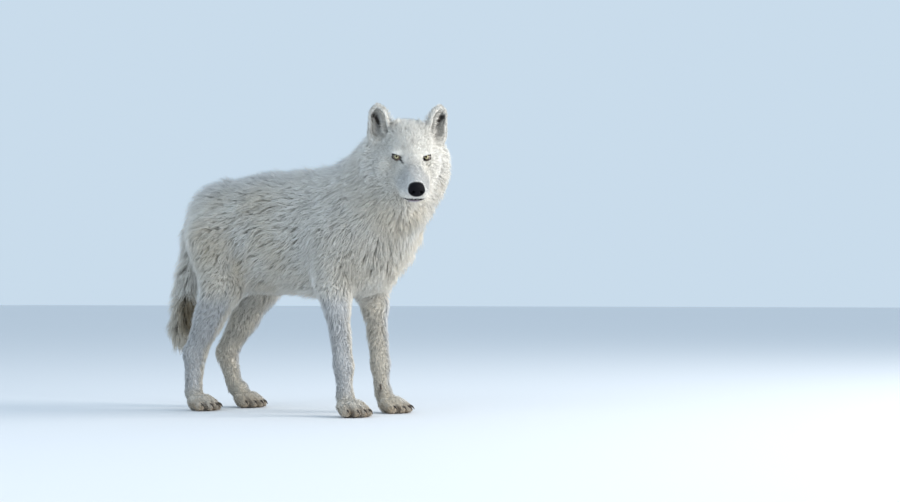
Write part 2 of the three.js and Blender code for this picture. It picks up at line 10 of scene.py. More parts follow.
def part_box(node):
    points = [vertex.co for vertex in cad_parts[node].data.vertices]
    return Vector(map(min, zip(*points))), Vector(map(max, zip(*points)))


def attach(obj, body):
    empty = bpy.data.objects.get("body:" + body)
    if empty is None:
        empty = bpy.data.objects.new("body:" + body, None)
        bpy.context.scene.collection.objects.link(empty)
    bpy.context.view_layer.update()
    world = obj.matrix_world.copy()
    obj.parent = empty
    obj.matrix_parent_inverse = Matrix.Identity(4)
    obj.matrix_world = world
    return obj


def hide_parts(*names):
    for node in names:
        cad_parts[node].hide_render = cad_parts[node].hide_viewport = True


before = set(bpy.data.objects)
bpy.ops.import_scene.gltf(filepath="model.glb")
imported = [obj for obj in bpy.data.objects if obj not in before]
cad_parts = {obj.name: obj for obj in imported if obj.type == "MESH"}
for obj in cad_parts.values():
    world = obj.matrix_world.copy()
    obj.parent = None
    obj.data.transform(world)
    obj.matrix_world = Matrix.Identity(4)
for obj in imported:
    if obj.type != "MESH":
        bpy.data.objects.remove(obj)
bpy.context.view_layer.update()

# ---------------------------------------------------------------- trunk, neck and tail
# The barrel of the body, the neck with its mane and the hanging tail. They are measured over the tips of
# the winter coat, in millimetres: x forward along the spine, y to the wolf's left, z up from the floor.
# A mass is a lump or a tapering limb, given by its distance field, and masses flow into one another.


def limb(start, end, start_girth, end_girth, wide=1.0):
    """A round bar between two landmarks that tapers from one half thickness to the other."""
    start = np.array(start, np.float32)
    along = np.array(end, np.float32) - start

    def distance(p):
        off = p - start
        t = np.clip(off @ along / (along @ along), 0, 1)
        off = off - t[:, None] * along
        off[:, 1] /= wide
        girth = start_girth + (end_girth - start_girth) * t
        return (np.sqrt((off * off).sum(1)) - girth) * min(1, wide)

    return distance


def lump(centre, sizes):
    """An ellipsoid about a landmark, with a half size along each axis."""
    centre = np.array(centre, np.float32)
    sizes = np.array(sizes, np.float32)

    def distance(p):
        near = (p - centre) / sizes
        share = np.sqrt((near * near).sum(1))
        slope = np.sqrt(((near / sizes) ** 2).sum(1)) + 1e-9
        return np.maximum(share * (share - 1) / slope, -sizes.min())

    return distance


def flowing(soft, *masses):
    """Masses that flow into each other over a distance of soft."""

    def distance(p):
        d = masses[0](p)
        for mass in masses[1:]:
            e = mass(p)
            near = np.maximum(soft - np.abs(d - e), 0)
            d = np.minimum(d, e) - near * near / (4 * soft)
        return d

    return distance


def hollowed(soft, mass, *hollows):
    """A mass with hollows pressed into it, their rims rounded over a distance of soft."""

    def distance(p):
        d = mass(p)
        for hollow in hollows:
            e = -hollow(p)
            near = np.maximum(soft - np.abs(d - e), 0)
            d = np.maximum(d, e) + near * near / (4 * soft)
        return d

    return distance


RUMP, LOIN, RIBS, CHEST = (-272, 0, 582), (-120, 0, 562), (40, 0, 558), (216, 0, 562)
RUMP_GIRTH, LOIN_GIRTH, RIBS_GIRTH, CHEST_GIRTH = 156, 192, 198, 204
TRUNK_WIDE = 0.76
torso = flowing(
    26,
    limb(RUMP, LOIN, RUMP_GIRTH, LOIN_GIRTH, TRUNK_WIDE),
    limb(LOIN, RIBS, LOIN_GIRTH, RIBS_GIRTH, TRUNK_WIDE),
    limb(RIBS, CHEST, RIBS_GIRTH, CHEST_GIRTH, TRUNK_WIDE),
)

NECK_ROOT, NAPE, THROAT = (250, 0, 640), (385, -58, 756), (404, -50, 662)
neck = flowing(
    50,
    limb(NECK_ROOT, NAPE, 150, 123, 0.9),
    limb(CHEST, THROAT, CHEST_GIRTH * 0.7, 116),
)

TAIL = ((-370, 640, 42), (-424, 545, 44), (-452, 430, 46), (-474, 320, 44), (-486, 240, 36), (-492, 184, 16))
tail = flowing(
    20,
    *(limb((x, 0, z), (x2, 0, z2), g, g2) for (x, z, g), (x2, z2, g2) in zip(TAIL, TAIL[1:])),
)

# ---------------------------------------------------------------- legs and paws
# Four standing legs: each runs from joint to joint, down to a paw of four toes that is turned out a
# little. The left legs stand a touch apart from their fellows, as the wolf shifts its weight.


def placed(place, turn=0.0, bow=0.0, roll=0.0):
    """The frame of a part: at a place, turned about the upright, bowed and rolled, in degrees."""
    turn, bow, roll = (math.radians(a) for a in (turn, bow, roll))
    spin = Matrix.Rotation(turn, 4, "Z") @ Matrix.Rotation(bow, 4, "Y") @ Matrix.Rotation(roll, 4, "X")
    return np.array(Matrix.Translation(place) @ spin)


def into(place, p):
    """Points of the wolf in the frame of a part."""
    back = np.linalg.inv(place)
    return p @ back[:3, :3].T.astype(np.float32) + back[:3, 3].astype(np.float32)


def out_of(place, p):
    """Points of a part's frame in the wolf's."""
    return np.asarray(p, float) @ place[:3, :3].T + place[:3, 3]


def within(place, mass):
    """A mass given in the frame of a part, as a mass of the wolf."""
    return lambda p: mass(into(place, p))


SIDES = {"right": -1, "left": 1}
FORE = {  # x, distance from the midline, z, half thickness over the coat
    "shoulder": (205, 80, 545, 92),
    "elbow": (194, 102, 404, 60),
    "forearm": (212, 105, 330, 41),
    "wrist": (236, 106, 150, 27),
    "pastern": (240, 107, 62, 25),
}
HIND = {
    "hip": (-272, 66, 535, 112),
    "stifle": (-228, 96, 408, 76),
    "shank": (-284, 100, 290, 47),
    "hock": (-340, 102, 180, 34),
    "pastern": (-345, 104, 60, 26),
}
FORE_PAW, HIND_PAW = (246, 107), (-339, 104)
LEFT_FORWARD = {"forearm": -4, "wrist": -8, "pastern": -6, "shank": -16, "hock": -34}
LEFT_HIND_FOOT = {"pastern": 6, "paw": 26}
TOE_OUT = {"fore_right": 24, "fore_left": -8, "hind_right": 6, "hind_left": -14}
TOES = (-1.5, -0.5, 0.5, 1.5)
PAW_LENGTH, PAW_SPREAD, TOE_HEIGHT = 104, 25, 13


def toe_line(toe):
    """Where a toe's knuckle and tip lie in the frame of its paw, and how far it turns out."""
    reach = PAW_LENGTH - 30 - (14 if abs(toe) > 1 else 0)
    across = toe * PAW_SPREAD
    return (reach - 38, across * 0.8, 33), (reach, across, TOE_HEIGHT), toe * 7


paw = flowing(
    9,
    limb((-4, 0, 60), (4, 0, 34), 26, 29),
    lump((18, 0, 20), (34, 34, 26)),
    *(limb(*toe_line(toe)[:2], 19, 16) for toe in TOES),
)

legs, paw_places, leg_lines = {}, {}, {}
for side_name, side in SIDES.items():
    for end_name, joints, (paw_x, paw_out) in (("fore", FORE, FORE_PAW), ("hind", HIND, HIND_PAW)):
        leg = f"{end_name}_{side_name}"
        shift = {} if side < 0 else dict(LEFT_FORWARD, **(LEFT_HIND_FOOT if end_name == "hind" else {}))
        line = [
            ((x + shift.get(name, 0), side * out, z), girth)
            for name, (x, out, z, girth) in joints.items()
        ]
        bars = [limb(a, b, girth, girth2) for (a, girth), (b, girth2) in zip(line, line[1:])]
        paw_place = (paw_x + shift.get("paw", 0), side * paw_out, 0)
        paw_places[leg] = placed(paw_place, side * TOE_OUT[leg])
        leg_lines[leg] = [a for a, _ in line] + [paw_place]
        legs[leg] = flowing(12, flowing(26, *bars), within(paw_places[leg], paw))

# ---------------------------------------------------------------- head and ears
# The head is turned and bowed on the neck. Its frame lies midway between the eyes, with x to the nose and
# z up the forehead. Skull, muzzle, cheeks, jaw and ruff are masses over the coat; an ear is a cupped leaf.

HEAD = placed((509, -157, 765), -48, 25)
EYE_APART, EYE_RADIUS = 44, 12.5


def pair(make):
    """A thing made for the left side of the head and for the right."""
    return make(1), make(-1)


face = flowing(
    16,
    lump((-82, 0, 10), (88, 76, 72)),  # cranium
    limb((-70, 0, 26), (2, 0, -14), 54, 40),  # forehead
    *pair(lambda s: lump((-14, s * 42, 10), (26, 21, 14))),  # brow ridges
    limb((-6, 0, -28), (104, 0, -49), 38, 27),  # bridge of the muzzle
    *pair(lambda s: limb((-10, s * 28, -56), (94, s * 19, -71), 33, 25)),  # lips
    *pair(lambda s: lump((-60, s * 60, -42), (58, 44, 56))),  # cheek bones and chewing muscles
)
jaw = flowing(16, limb((-40, 0, -90), (86, 0, -90), 34, 16), lump((-62, 0, -108), (70, 66, 44)))
ruff = flowing(
    24,
    *pair(lambda s: lump((-104, s * 84, -72), (56, 62, 110))),
    lump((-116, 0, -80), (60, 96, 100)),
)
orbits = pair(lambda s: lump((20, s * 46, 0), (15, 15, 9)))
head_masses = hollowed(6, flowing(22, face, jaw, ruff), *orbits)

nose_pad = flowing(8, lump((124, 0, -55), (15, 24.5, 19)), lump((118, 0, -46), (17, 20, 14)))

EAR_BACK, EAR_APART, EAR_UP = -92, 82, 43
EAR_LEAN, EAR_FACE, EAR_TILT, EAR_FLAT = 12, 22, -6, 0.55
ear_leaf = flowing(10, limb((0, 0, -8), (-4, 0, 71), 40, 13), limb((0, 0, 0), (-2, 0, 49), 39, 31))
ear_cup = flowing(
    6,
    limb((2, 0, 8), (0, 0, 46), 23, 18),  # hollow of the cup
    limb((32, 0, 6), (26, 0, 50), 28, 20),  # its mouth
    limb((12, 0, 46), (10, 0, 66), 18, 5),
)
ear_shape = hollowed(5, ear_leaf, ear_cup)


def ear_place(s):
    """An ear's frame: origin at its root, x out of its cup, z to its tip, thinned along x."""
    spin = (
        Matrix.Rotation(math.radians(s * EAR_FACE), 4, "Z")
        @ Matrix.Rotation(math.radians(-s * EAR_LEAN), 4, "X")
        @ Matrix.Rotation(math.radians(EAR_TILT), 4, "Y")
    )
    thin = Matrix.Diagonal((EAR_FLAT, 1, 1, 1))
    return HEAD @ np.array(Matrix.Translation((EAR_BACK, s * EAR_APART, EAR_UP)) @ spin @ thin)


ear_places = {name: ear_place(s) for name, s in SIDES.items()}
ears = {name: within(place, ear_shape) for name, place in ear_places.items()}

over_coat = flowing(44, flowing(50, torso, neck), *legs.values())
over_coat = flowing(44, flowing(30, over_coat, within(HEAD, head_masses)), tail)

# ---------------------------------------------------------------- lie of the coat
# How the fur lies, as a groomer would comb it: each mark has its place, the way the hair lies there, how
# long the hair is and how deep the coat stands over the skin. Between marks the coat runs smoothly on.

MARKS, MARK_PARTS = [], []  # place, lie, length and depth of each mark, and the part of the coat it is on


def combed(part, place, lie, length, depth, frame_of=None, mirror=True):
    """A mark on a part of the coat, and its fellow on the other side where it is mirrored."""
    for s in (1, -1) if mirror else (1,):
        at, to = (np.array((v[0], s * v[1], v[2]), float) for v in (place, lie))
        if frame_of is not None:
            at, to = out_of(frame_of, at), to @ frame_of[:3, :3].T
        MARKS.append((*at, *(to / np.linalg.norm(to)), length, depth))
        MARK_PARTS.append(part)


# back, from the withers to the root of the tail
combed("back", (190, 30, 770), (-1, 0.15, -0.1), 60, 36)
combed("back", (20, 30, 758), (-1, 0.15, 0), 52, 30)
combed("back", (-150, 30, 752), (-1, 0.1, 0), 50, 30)
combed("back", (-300, 30, 725), (-1, 0.1, -0.25), 52, 30)
combed("back", (-385, 15, 665), (-0.7, 0, -0.7), 50, 26)
# shoulder, ribs, flank and hip
combed("sides", (215, 145, 640), (-0.7, 0.2, -0.7), 56, 34)
combed("sides", (40, 150, 630), (-0.85, 0, -0.45), 55, 33)
combed("sides", (40, 135, 480), (-0.8, 0, -0.6), 55, 33)
combed("sides", (-130, 140, 620), (-0.8, 0, -0.55), 54, 32)
combed("sides", (-130, 120, 460), (-0.7, 0, -0.7), 54, 32)
combed("sides", (-290, 140, 630), (-0.75, 0, -0.65), 52, 30)
# belly and groin
combed("belly", (60, 40, 372), (-0.9, 0, -0.35), 50, 28)
combed("belly", (-110, 40, 378), (-0.85, 0, -0.45), 50, 28)
combed("belly", (-200, 40, 410), (-0.6, 0, -0.8), 40, 20)
# chest and brisket
combed("chest", (400, 40, 560), (0, 0.1, -1), 66, 40)
combed("chest", (340, 60, 440), (-0.45, 0, -0.9), 56, 34)
combed("chest", (250, 40, 375), (-0.8, 0, -0.5), 42, 24)
# neck: nape, sides and throat
combed("neck", (330, -20, 845), (-0.9, 0.1, -0.3), 64, 38, mirror=False)
combed("neck", (395, 45, 740), (-0.55, 0.3, -0.8), 68, 42, mirror=False)
combed("neck", (330, 90, 680), (-0.55, 0.25, -0.8), 66, 42, mirror=False)
combed("neck", (300, -150, 700), (-0.6, -0.15, -0.8), 66, 40, mirror=False)
combed("neck", (480, -60, 610), (-0.05, 0.1, -1), 68, 42, mirror=False)
combed("neck", (430, -160, 600), (-0.2, -0.1, -1), 68, 42, mirror=False)
# upper arm, forearm and pastern
combed("forelegs", (205, 165, 510), (-0.4, 0, -0.9), 46, 26)
combed("forelegs", (180, 150, 410), (-0.4, 0, -0.9), 34, 17)
combed("forelegs", (212, 140, 330), (-0.1, 0, -1), 26, 9)
combed("forelegs", (236, 132, 150), (0.05, 0, -1), 20, 5)
combed("forelegs", (242, 130, 80), (0.15, 0, -1), 18, 4.5)
# thigh, breeches, shank and hock
combed("hindlegs", (-280, 168, 510), (-0.45, 0, -0.9), 48, 27)
combed("hindlegs", (-220, 165, 420), (-0.3, 0, -0.95), 38, 20)
combed("hindlegs", (-375, 90, 530), (-0.45, 0, -0.9), 54, 30)
combed("hindlegs", (-290, 145, 300), (-0.45, 0, -0.9), 28, 12)
combed("hindlegs", (-345, 132, 190), (-0.1, 0, -1), 22, 6)
combed("hindlegs", (-345, 128, 110), (0.05, 0, -1), 20, 5)
# tail
combed("tail", (-430, 40, 545), (-0.3, 0, -0.95), 60, 27)
combed("tail", (-455, 40, 430), (-0.2, 0, -1), 66, 31)
combed("tail", (-478, 36, 310), (-0.15, 0, -1), 66, 31)
combed("tail", (-490, 20, 220), (-0.05, 0, -1), 52, 22)
# paws, from the pastern to the toes
for place in paw_places.values():
    combed("paws", (20, 22, 40), (0.9, 0.1, -0.45), 16, 4, place)
    combed("paws", (62, 24, 26), (0.9, 0.1, -0.45), 13, 3, place)

# muzzle and chin
combed("face", (95, 0, -22), (-1, 0, 0.2), 7, 2, HEAD)
combed("face", (70, 28, -55), (-1, 0.1, 0.05), 8, 2.5, HEAD)
combed("face", (85, 20, -80), (-1, 0.15, -0.1), 6, 1.5, HEAD)
combed("face", (85, 0, -100), (-1, 0, -0.25), 7, 2, HEAD)
combed("face", (30, 36, -70), (-1, 0.25, -0.1), 10, 3.5, HEAD)
# stop, forehead and crown
combed("face", (22, 0, 0), (-0.8, 0, 0.6), 10, 3.5, HEAD)
combed("face", (-30, 0, 68), (-0.95, 0, 0.35), 17, 6.5, HEAD)
combed("face", (-100, 0, 84), (-1, 0, -0.1), 26, 11, HEAD)
combed("face", (-150, 0, 60), (-0.9, 0, -0.4), 44, 22, HEAD)
# round the eyes and over the temples
combed("face", (10, 44, 26), (-0.5, 0.5, 0.6), 9, 3, HEAD)
combed("face", (14, 46, -20), (-0.9, 0.4, -0.1), 9, 3, HEAD)
combed("face", (-25, 68, 8), (-0.8, 0.5, -0.15), 14, 5, HEAD)
combed("face", (-60, 72, 50), (-0.8, 0.5, 0.1), 20, 7, HEAD)
# cheeks, jaw and ruff
combed("ruff", (-20, 80, -45), (-0.6, 0.7, -0.4), 22, 8, HEAD)
combed("ruff", (10, 48, -95), (-0.75, 0.45, -0.5), 16, 6, HEAD)
combed("ruff", (-70, 105, -60), (-0.45, 0.7, -0.6), 42, 19, HEAD)
combed("ruff", (-70, 80, -140), (-0.5, 0.3, -0.8), 50, 28, HEAD)
combed("ruff", (-130, 120, -60), (-0.55, 0.45, -0.7), 56, 32, HEAD)
combed("ruff", (-10, 0, -125), (-0.85, 0, -0.5), 30, 14, HEAD)
combed("ruff", (-90, 0, -180), (-0.5, 0, -0.9), 56, 34, HEAD)

COMB = np.array(MARKS)
COMB_BLEND = 22  # how far apart marks still share the coat between them


def coat_at(p):
    """The lie, length and depth of the coat at points of the wolf."""
    out = np.empty((len(p), 5), np.float32)
    for part in range(0, len(p), 50000):
        some = p[part : part + 50000]
        off2 = ((some[:, None] - COMB[None, :, :3]) ** 2).sum(2)
        share = 1 / (off2 + COMB_BLEND**2) ** 2
        share /= share.sum(1, keepdims=True)
        out[part : part + 50000] = share @ COMB[:, 3:]
    return out[:, :3], out[:, 3], out[:, 4]


# ---------------------------------------------------------------- skin
# One hide over the whole animal, under the coat by the coat's depth, with lids, lips, ears and toes in it.
# It is meshed over a grid that is finer about the head, and its edges are then halved where it has folds.

EAR_FUR = 1.4
EYE_OUT, EYE_RAISED, EYE_SLANT = 24, 14, 8
EYE_WIDE, UPPER_LID, LOWER_LID, LID_GIRTH = 11.0, 4.2, 5.2, 14.6
orbit_places = {
    name: HEAD @ placed((-1, s * EYE_APART, 0), s * EYE_OUT, -EYE_RAISED, s * EYE_SLANT)
    for name, s in SIDES.items()
}


def lid_opening(p):
    """The almond between the lids, in the frame of an eye that looks along x."""
    arcs = []
    for rise, up in ((UPPER_LID, 1), (LOWER_LID, -1)):
        radius = (EYE_WIDE**2 + rise**2) / (2 * rise)
        arcs.append(np.hypot(p[:, 1], p[:, 2] - up * (rise - radius)) - radius)
    return np.maximum(arcs[0], arcs[1])


def rim_width(p):
    """How wide the bare black rim of the lids is, in the same frame: wider at the corners."""
    return 4.0 + 2.0 * np.clip((np.abs(p[:, 1]) - 5) / 7, 0, 1)


def eye_hollow(p):
    """The hollow behind the lids' opening, in the same frame."""
    return np.maximum(lid_opening(p), 3 - p[:, 0])


def eye_ball(p):
    """The seat of the glass eye, a little wider than the eye."""
    return np.sqrt((p * p).sum(1)) - EYE_RADIUS - 0.15


def in_ear(p):
    """How far points are outside the nearer ear."""
    return np.minimum(*(ear(p) * EAR_FLAT for ear in ears.values()))


def under_coat(p):
    """The hide: inside the surface of the coat by its depth, and closer to it on the ears."""
    d = over_coat(p) + coat_at(p)[2]
    e = in_ear(p) + EAR_FUR
    soft = np.maximum(8 - np.abs(d - e), 0)
    return np.minimum(d, e) - soft * soft / 32


def skin_field(p):
    """The hide with lids that bulge over the eyes, the opening between them and the eye's seat."""
    d = under_coat(p)
    head = into(HEAD, p)
    close = (np.abs(head[:, 0]) < 60) & (np.abs(head[:, 1]) < 90) & (np.abs(head[:, 2]) < 50)
    if close.any():
        some, e = p[close], d[close]
        for place in orbit_places.values():
            at = into(place, some)
            lids = np.sqrt((at * at).sum(1)) - LID_GIRTH
            soft = np.maximum(5 - np.abs(e - lids), 0)
            e = np.minimum(e, lids) - soft * soft / 20
            for hollow, rim in ((eye_hollow(at), 1.2), (eye_ball(at), 0.4)):
                soft = np.maximum(rim - np.abs(e + hollow), 0)
                e = np.maximum(e, -hollow) + soft * soft / (4 * rim)
        d[close] = e
    return d


def lines(start, *stretches):
    """The lines of a grid along one axis: from a start through stretches, each an end and a cell size."""
    out = [start]
    for end, cell in stretches:
        count = max(1, round((end - out[-1]) / cell))
        out += list(np.linspace(out[-1], end, count + 1)[1:])
    return np.array(out, np.float32)


def meshed(field, xs, ys, zs, coarse=5, reach=60):
    """A closed mesh of a field: a vertex in each cell that the surface crosses, a quad round each edge."""
    axes = (xs, ys, zs)
    rough_axes = [np.append(a[::coarse], a[-1]) for a in axes]
    rough = field(np.stack(np.meshgrid(*rough_axes, indexing="ij"), -1).reshape(-1, 3).astype(np.float32))
    rough = rough.reshape([len(a) for a in rough_axes])
    nearest = [
        np.minimum((np.arange(len(a)) + coarse // 2) // coarse, len(r) - 1)
        for a, r in zip(axes, rough_axes)
    ]
    value = rough[np.ix_(*nearest)]
    close = np.abs(value) < reach
    at = np.argwhere(close)
    value[close] = field(np.stack([a[i] for a, i in zip(axes, at.T)], 1))
    inside = value < 0

    corner_shift = np.array([[(c >> m) & 1 for m in range(3)] for c in range(8)])
    nx, ny, nz = (n - 1 for n in inside.shape)
    count = sum(inside[a : nx + a, b : ny + b, c : nz + c].astype(int) for a, b, c in corner_shift)
    cells = np.argwhere((count > 0) & (count < 8))
    corner = np.stack([value[tuple((cells + s).T)] for s in corner_shift], 1)
    total, hits = np.zeros((len(cells), 3)), np.zeros(len(cells))
    for a in range(8):
        for b in (a | 1, a | 2, a | 4):
            if b == a:
                continue
            crossed = (corner[:, a] < 0) != (corner[:, b] < 0)
            t = np.where(crossed, corner[:, a] / np.where(crossed, corner[:, a] - corner[:, b], 1), 0)
            place = corner_shift[a] + t[:, None] * (corner_shift[b] - corner_shift[a])
            total += crossed[:, None] * place
            hits += crossed
    share = total / hits[:, None]
    points = np.stack([a[c] + s * (a[c + 1] - a[c]) for a, c, s in zip(axes, cells.T, share.T)], 1)
    number = np.full(value.shape, -1)
    number[tuple(cells.T)] = np.arange(len(cells))

    quads = []
    for m in range(3):
        u, v = (m + 1) % 3, (m + 2) % 3
        low = [slice(1, -1)] * 3
        low[m] = slice(0, -1)
        high = list(low)
        high[m] = slice(1, None)
        inner = [0 if k == m else 1 for k in range(3)]
        changed = np.argwhere(inside[tuple(low)] != inside[tuple(high)]) + inner
        step_u, step_v = np.eye(3, dtype=int)[u], np.eye(3, dtype=int)[v]
        ring = [number[tuple((changed - s).T)] for s in (step_u + step_v, step_v, 0 * step_u, step_u)]
        ring = np.stack(ring, 1)
        outward = inside[tuple(changed.T)]
        quads.append(np.where(outward[:, None], ring, ring[:, ::-1]))
    quads = np.concatenate(quads)
    straight = np.linalg.norm(points[quads[:, 0]] - points[quads[:, 2]], axis=1)
    other = np.linalg.norm(points[quads[:, 1]] - points[quads[:, 3]], axis=1)
    by_02 = straight < other
    faces = np.concatenate([
        quads[by_02][:, [0, 1, 2]], quads[by_02][:, [0, 2, 3]],
        quads[~by_02][:, [0, 1, 3]], quads[~by_02][:, [1, 2, 3]],
    ])
    return points, faces


def slope_of(field, p, step):
    """The value of a field and its slope at points."""
    d = field(p)
    sides = [field(p + step * np.eye(3, dtype=np.float32)[m]) - d for m in range(3)]
    return d, np.stack(sides, 1) / step


def settled(field, points, most, step=0.5, rounds=3):
    """Points moved along a field's slope onto its surface, by no more than most in each round."""
    points = points.astype(np.float32)
    for _ in range(rounds):
        d, slope = slope_of(field, points, step)
        move = -d / np.maximum((slope * slope).sum(1), 0.2)
        length = np.abs(move) * np.linalg.norm(slope, axis=1)
        move *= np.minimum(1, most / np.maximum(length, 1e-6))
        points = points + (move[:, None] * slope).astype(np.float32)
    return points


def halved(points, faces, wanted):
    """Every edge that is longer than wanted at its middle is halved, and the faces beside it are parted."""
    edges = np.sort(faces[:, [0, 1, 1, 2, 2, 0]].reshape(-1, 2), 1)
    edges, back = np.unique(edges, axis=0, return_inverse=True)
    ends = points[edges]
    middle = ends.mean(1)
    long = np.linalg.norm(ends[:, 0] - ends[:, 1], axis=1) > wanted(middle)
    number = np.full(len(edges), -1)
    number[long] = len(points) + np.arange(long.sum())
    cut = number[back.reshape(-1)].reshape(-1, 3)  # on edges ab, bc and ca of each face
    many = (cut >= 0).sum(1)
    out = [faces[many == 0]]
    for turn in range(3):
        a, b, c = (faces[:, (turn + k) % 3] for k in range(3))
        ab, bc, ca = (cut[:, (turn + k) % 3] for k in range(3))
        one = (many == 1) & (ab >= 0)
        two = (many == 2) & (ca < 0)
        out += [np.stack(f, 1)[one] for f in ((a, ab, c), (ab, b, c))]
        out += [np.stack(f, 1)[two] for f in ((ab, b, bc), (a, ab, bc), (a, bc, c))]
    a, b, c = faces.T
    ab, bc, ca = cut.T
    out += [np.stack(f, 1)[many == 3] for f in ((a, ab, ca), (ab, b, bc), (ca, bc, c), (ab, bc, ca))]
    return np.concatenate([points, middle[long]]), np.concatenate(out), int(long.sum())


MOUTH_FRONT, MOUTH_CORNER, LIP_FURROW, LIP_GAP = (130, -91), (34, -83), 5.0, 1.7


def mouth_gap(head):
    """The height of points over the line of the mouth, in the head's frame."""
    t = (MOUTH_FRONT[0] - head[:, 0]) / (MOUTH_FRONT[0] - MOUTH_CORNER[0])
    return head[:, 2] - (MOUTH_FRONT[1] + (MOUTH_CORNER[1] - MOUTH_FRONT[1]) * t)


def skin_edge(p):
    """How long the skin's edges may be at a point."""
    head = into(HEAD, p.astype(np.float32))
    size = np.where((head[:, 0] > -70) & (np.abs(head[:, 1]) < 90), 4.5, 14.0)
    for place in orbit_places.values():
        at = into(place, p.astype(np.float32))
        away = np.sqrt((at * at).sum(1))
        rim = np.abs(lid_opening(at))
        size = np.where(away < 26, 2.6, size)
        size = np.where((away < 20) & (rim < 4), 1.1, size)
    on_lips = (head[:, 0] > MOUTH_CORNER[0] - 6) & (np.abs(mouth_gap(head)) < 5) & (np.abs(head[:, 1]) < 60)
    return np.where(on_lips, 1.3, size)


skin_points, skin_faces = meshed(
    skin_field,
    lines(-530, (330, 9), (600, 4.2)),
    lines(-252, (-30, 4.2), (187, 8)),
    lines(-6, (96, 6), (600, 9), (936, 4.2)),
)
skin_points = settled(skin_field, skin_points, 2.0)
for _ in range(3):
    before = len(skin_points)
    skin_points, skin_faces, added = halved(skin_points, skin_faces, skin_edge)
    if not added:
        break
    skin_points[before:] = settled(skin_field, skin_points[before:], 1.0, 0.3)

# the mouth, closed: a furrow between the lips; and the soles, flat on the floor
SOLE_HEIGHT = 0.3
head_points = into(HEAD, skin_points)
on_lips = np.clip((head_points[:, 0] - MOUTH_CORNER[0]) / 12, 0, 1) * (head_points[:, 0] < 134)
furrow = LIP_FURROW * (0.4 + 0.6 * np.clip((head_points[:, 0] - 85) / 20, 0, 1))
furrow = furrow * np.exp(-((mouth_gap(head_points) / LIP_GAP) ** 2)) * on_lips
_, outward = slope_of(skin_field, skin_points, 0.5)
outward /= np.linalg.norm(outward, axis=1)[:, None] + 1e-9
skin_points = skin_points - furrow[:, None] * outward
skin_points[:, 2] = np.maximum(skin_points[:, 2], SOLE_HEIGHT)

eyes_of_frame = sum((Vector(c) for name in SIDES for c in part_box(f"eye_{name}")), Vector()) / 4
SHIFT = np.array(eyes_of_frame) - out_of(HEAD, (-1, 0, 0)) / 1000  # from the wolf's middle to the frame's


def metres(p):
    """Points of the wolf in metres, in the shared frame."""
    return np.asarray(p, float) / 1000 + SHIFT


def piece(name, points, faces, material):
    """A mesh object of triangles, from points of the wolf."""
    mesh = bpy.data.meshes.new(name)
    faces = np.asarray(faces, np.int32)
    mesh.vertices.add(len(points))
    mesh.vertices.foreach_set("co", metres(points).astype(np.float32).ravel())
    mesh.loops.add(faces.size)
    mesh.loops.foreach_set("vertex_index", faces.ravel())
    mesh.polygons.add(len(faces))
    mesh.polygons.foreach_set("loop_start", np.arange(0, faces.size, 3, dtype=np.int32))
    mesh.polygons.foreach_set("loop_total", np.full(len(faces), 3, np.int32))
    mesh.update(calc_edges=True)
    mesh.polygons.foreach_set("use_smooth", np.full(len(faces), True))
    mesh.materials.append(material)
    made = bpy.data.objects.new(name, mesh)
    bpy.context.scene.collection.objects.link(made)
    return made


def painted(made, colours):
    """Colours on the points of a piece."""
    rgba = np.ones((len(colours), 4), np.float32)
    rgba[:, :3] = colours
    layer = made.data.color_attributes.new("tint", "FLOAT_COLOR", "POINT")
    layer.data.foreach_set("color", rgba.ravel())


def finish(name, **sockets):
    """A material and its nodes: the sockets that are the same all over are set on its shader."""
    material = bpy.data.materials.new(name)
    material.use_nodes = True
    shader = material.node_tree.nodes["Principled BSDF"]
    for socket, value in sockets.items():
        shader.inputs[socket.replace("_", " ")].default_value = value
    return material, material.node_tree, shader


def tinted(tree, shader):
    """A finish whose colour is the one painted on its piece."""
    tint_node = tree.nodes.new("ShaderNodeVertexColor")
    tint_node.layer_name = "tint"
    tree.links.new(tint_node.outputs["Color"], shader.inputs["Base Color"])


def bumped(tree, shader, scale, strength, distance, stretch=None, kind="ShaderNodeTexNoise"):
    """A fine relief on a finish, from a grain in the piece's own space."""
    place = tree.nodes.new("ShaderNodeTexCoord")
    grain = tree.nodes.new(kind)
    grain.inputs["Scale"].default_value = scale
    if "Detail" in grain.inputs:
        grain.inputs["Detail"].default_value = 4.0
    bump = tree.nodes.new("ShaderNodeBump")
    bump.inputs["Strength"].default_value = strength
    bump.inputs["Distance"].default_value = distance
    source = place.outputs["Object"]
    if stretch:
        mapping = tree.nodes.new("ShaderNodeMapping")
        mapping.inputs["Scale"].default_value = stretch
        tree.links.new(source, mapping.inputs["Vector"])
        source = mapping.outputs["Vector"]
    tree.links.new(source, grain.inputs["Vector"])
    tree.links.new(grain.outputs[0], bump.inputs["Height"])
    tree.links.new(bump.outputs["Normal"], shader.inputs["Normal"])


CREAM = (0.87, 0.85, 0.80)  # most of the coat
WARM = (0.74, 0.67, 0.55)  # flank, chest, belly and the inner sides of the legs
SADDLE_GREY = (0.62, 0.63, 0.64)
# painted shade: a bluish grey laid on the outer sides of the legs, for the shade on them
PAINTED_LEG_SHADE = (0.53, 0.56, 0.61)  # outer sides of the legs
# painted shade over the top of the muzzle
PAINTED_MUZZLE_SHADE = (0.52, 0.525, 0.53)
EAR_GREY = (0.40, 0.37, 0.33)
TAN = (0.44, 0.34, 0.23)  # toes
# dark fur of the dewclaw spot and brow flecks, and painted shade between the toes
DARK_FUR_AND_TOE_SHADE = (0.11, 0.085, 0.065)
OLIVE, UMBER = (0.30, 0.22, 0.10), (0.13, 0.08, 0.035)  # streak of the tail
BLACK_SKIN = (0.008, 0.007, 0.008)
LIP_SKIN = (0.34, 0.26, 0.34)
EAR_SKIN = (0.03, 0.022, 0.018)
PAD_SKIN = (0.03, 0.027, 0.026)
TAIL_STREAK_FACES = (0.956, -0.294)  # along x and y: forward and a little to the right
TAIL_STREAK_HEIGHT = 318
DEWCLAW_SPOT, DEWCLAW_SPOT_SIZE = (238, 87, 66), (9, 8, 12)


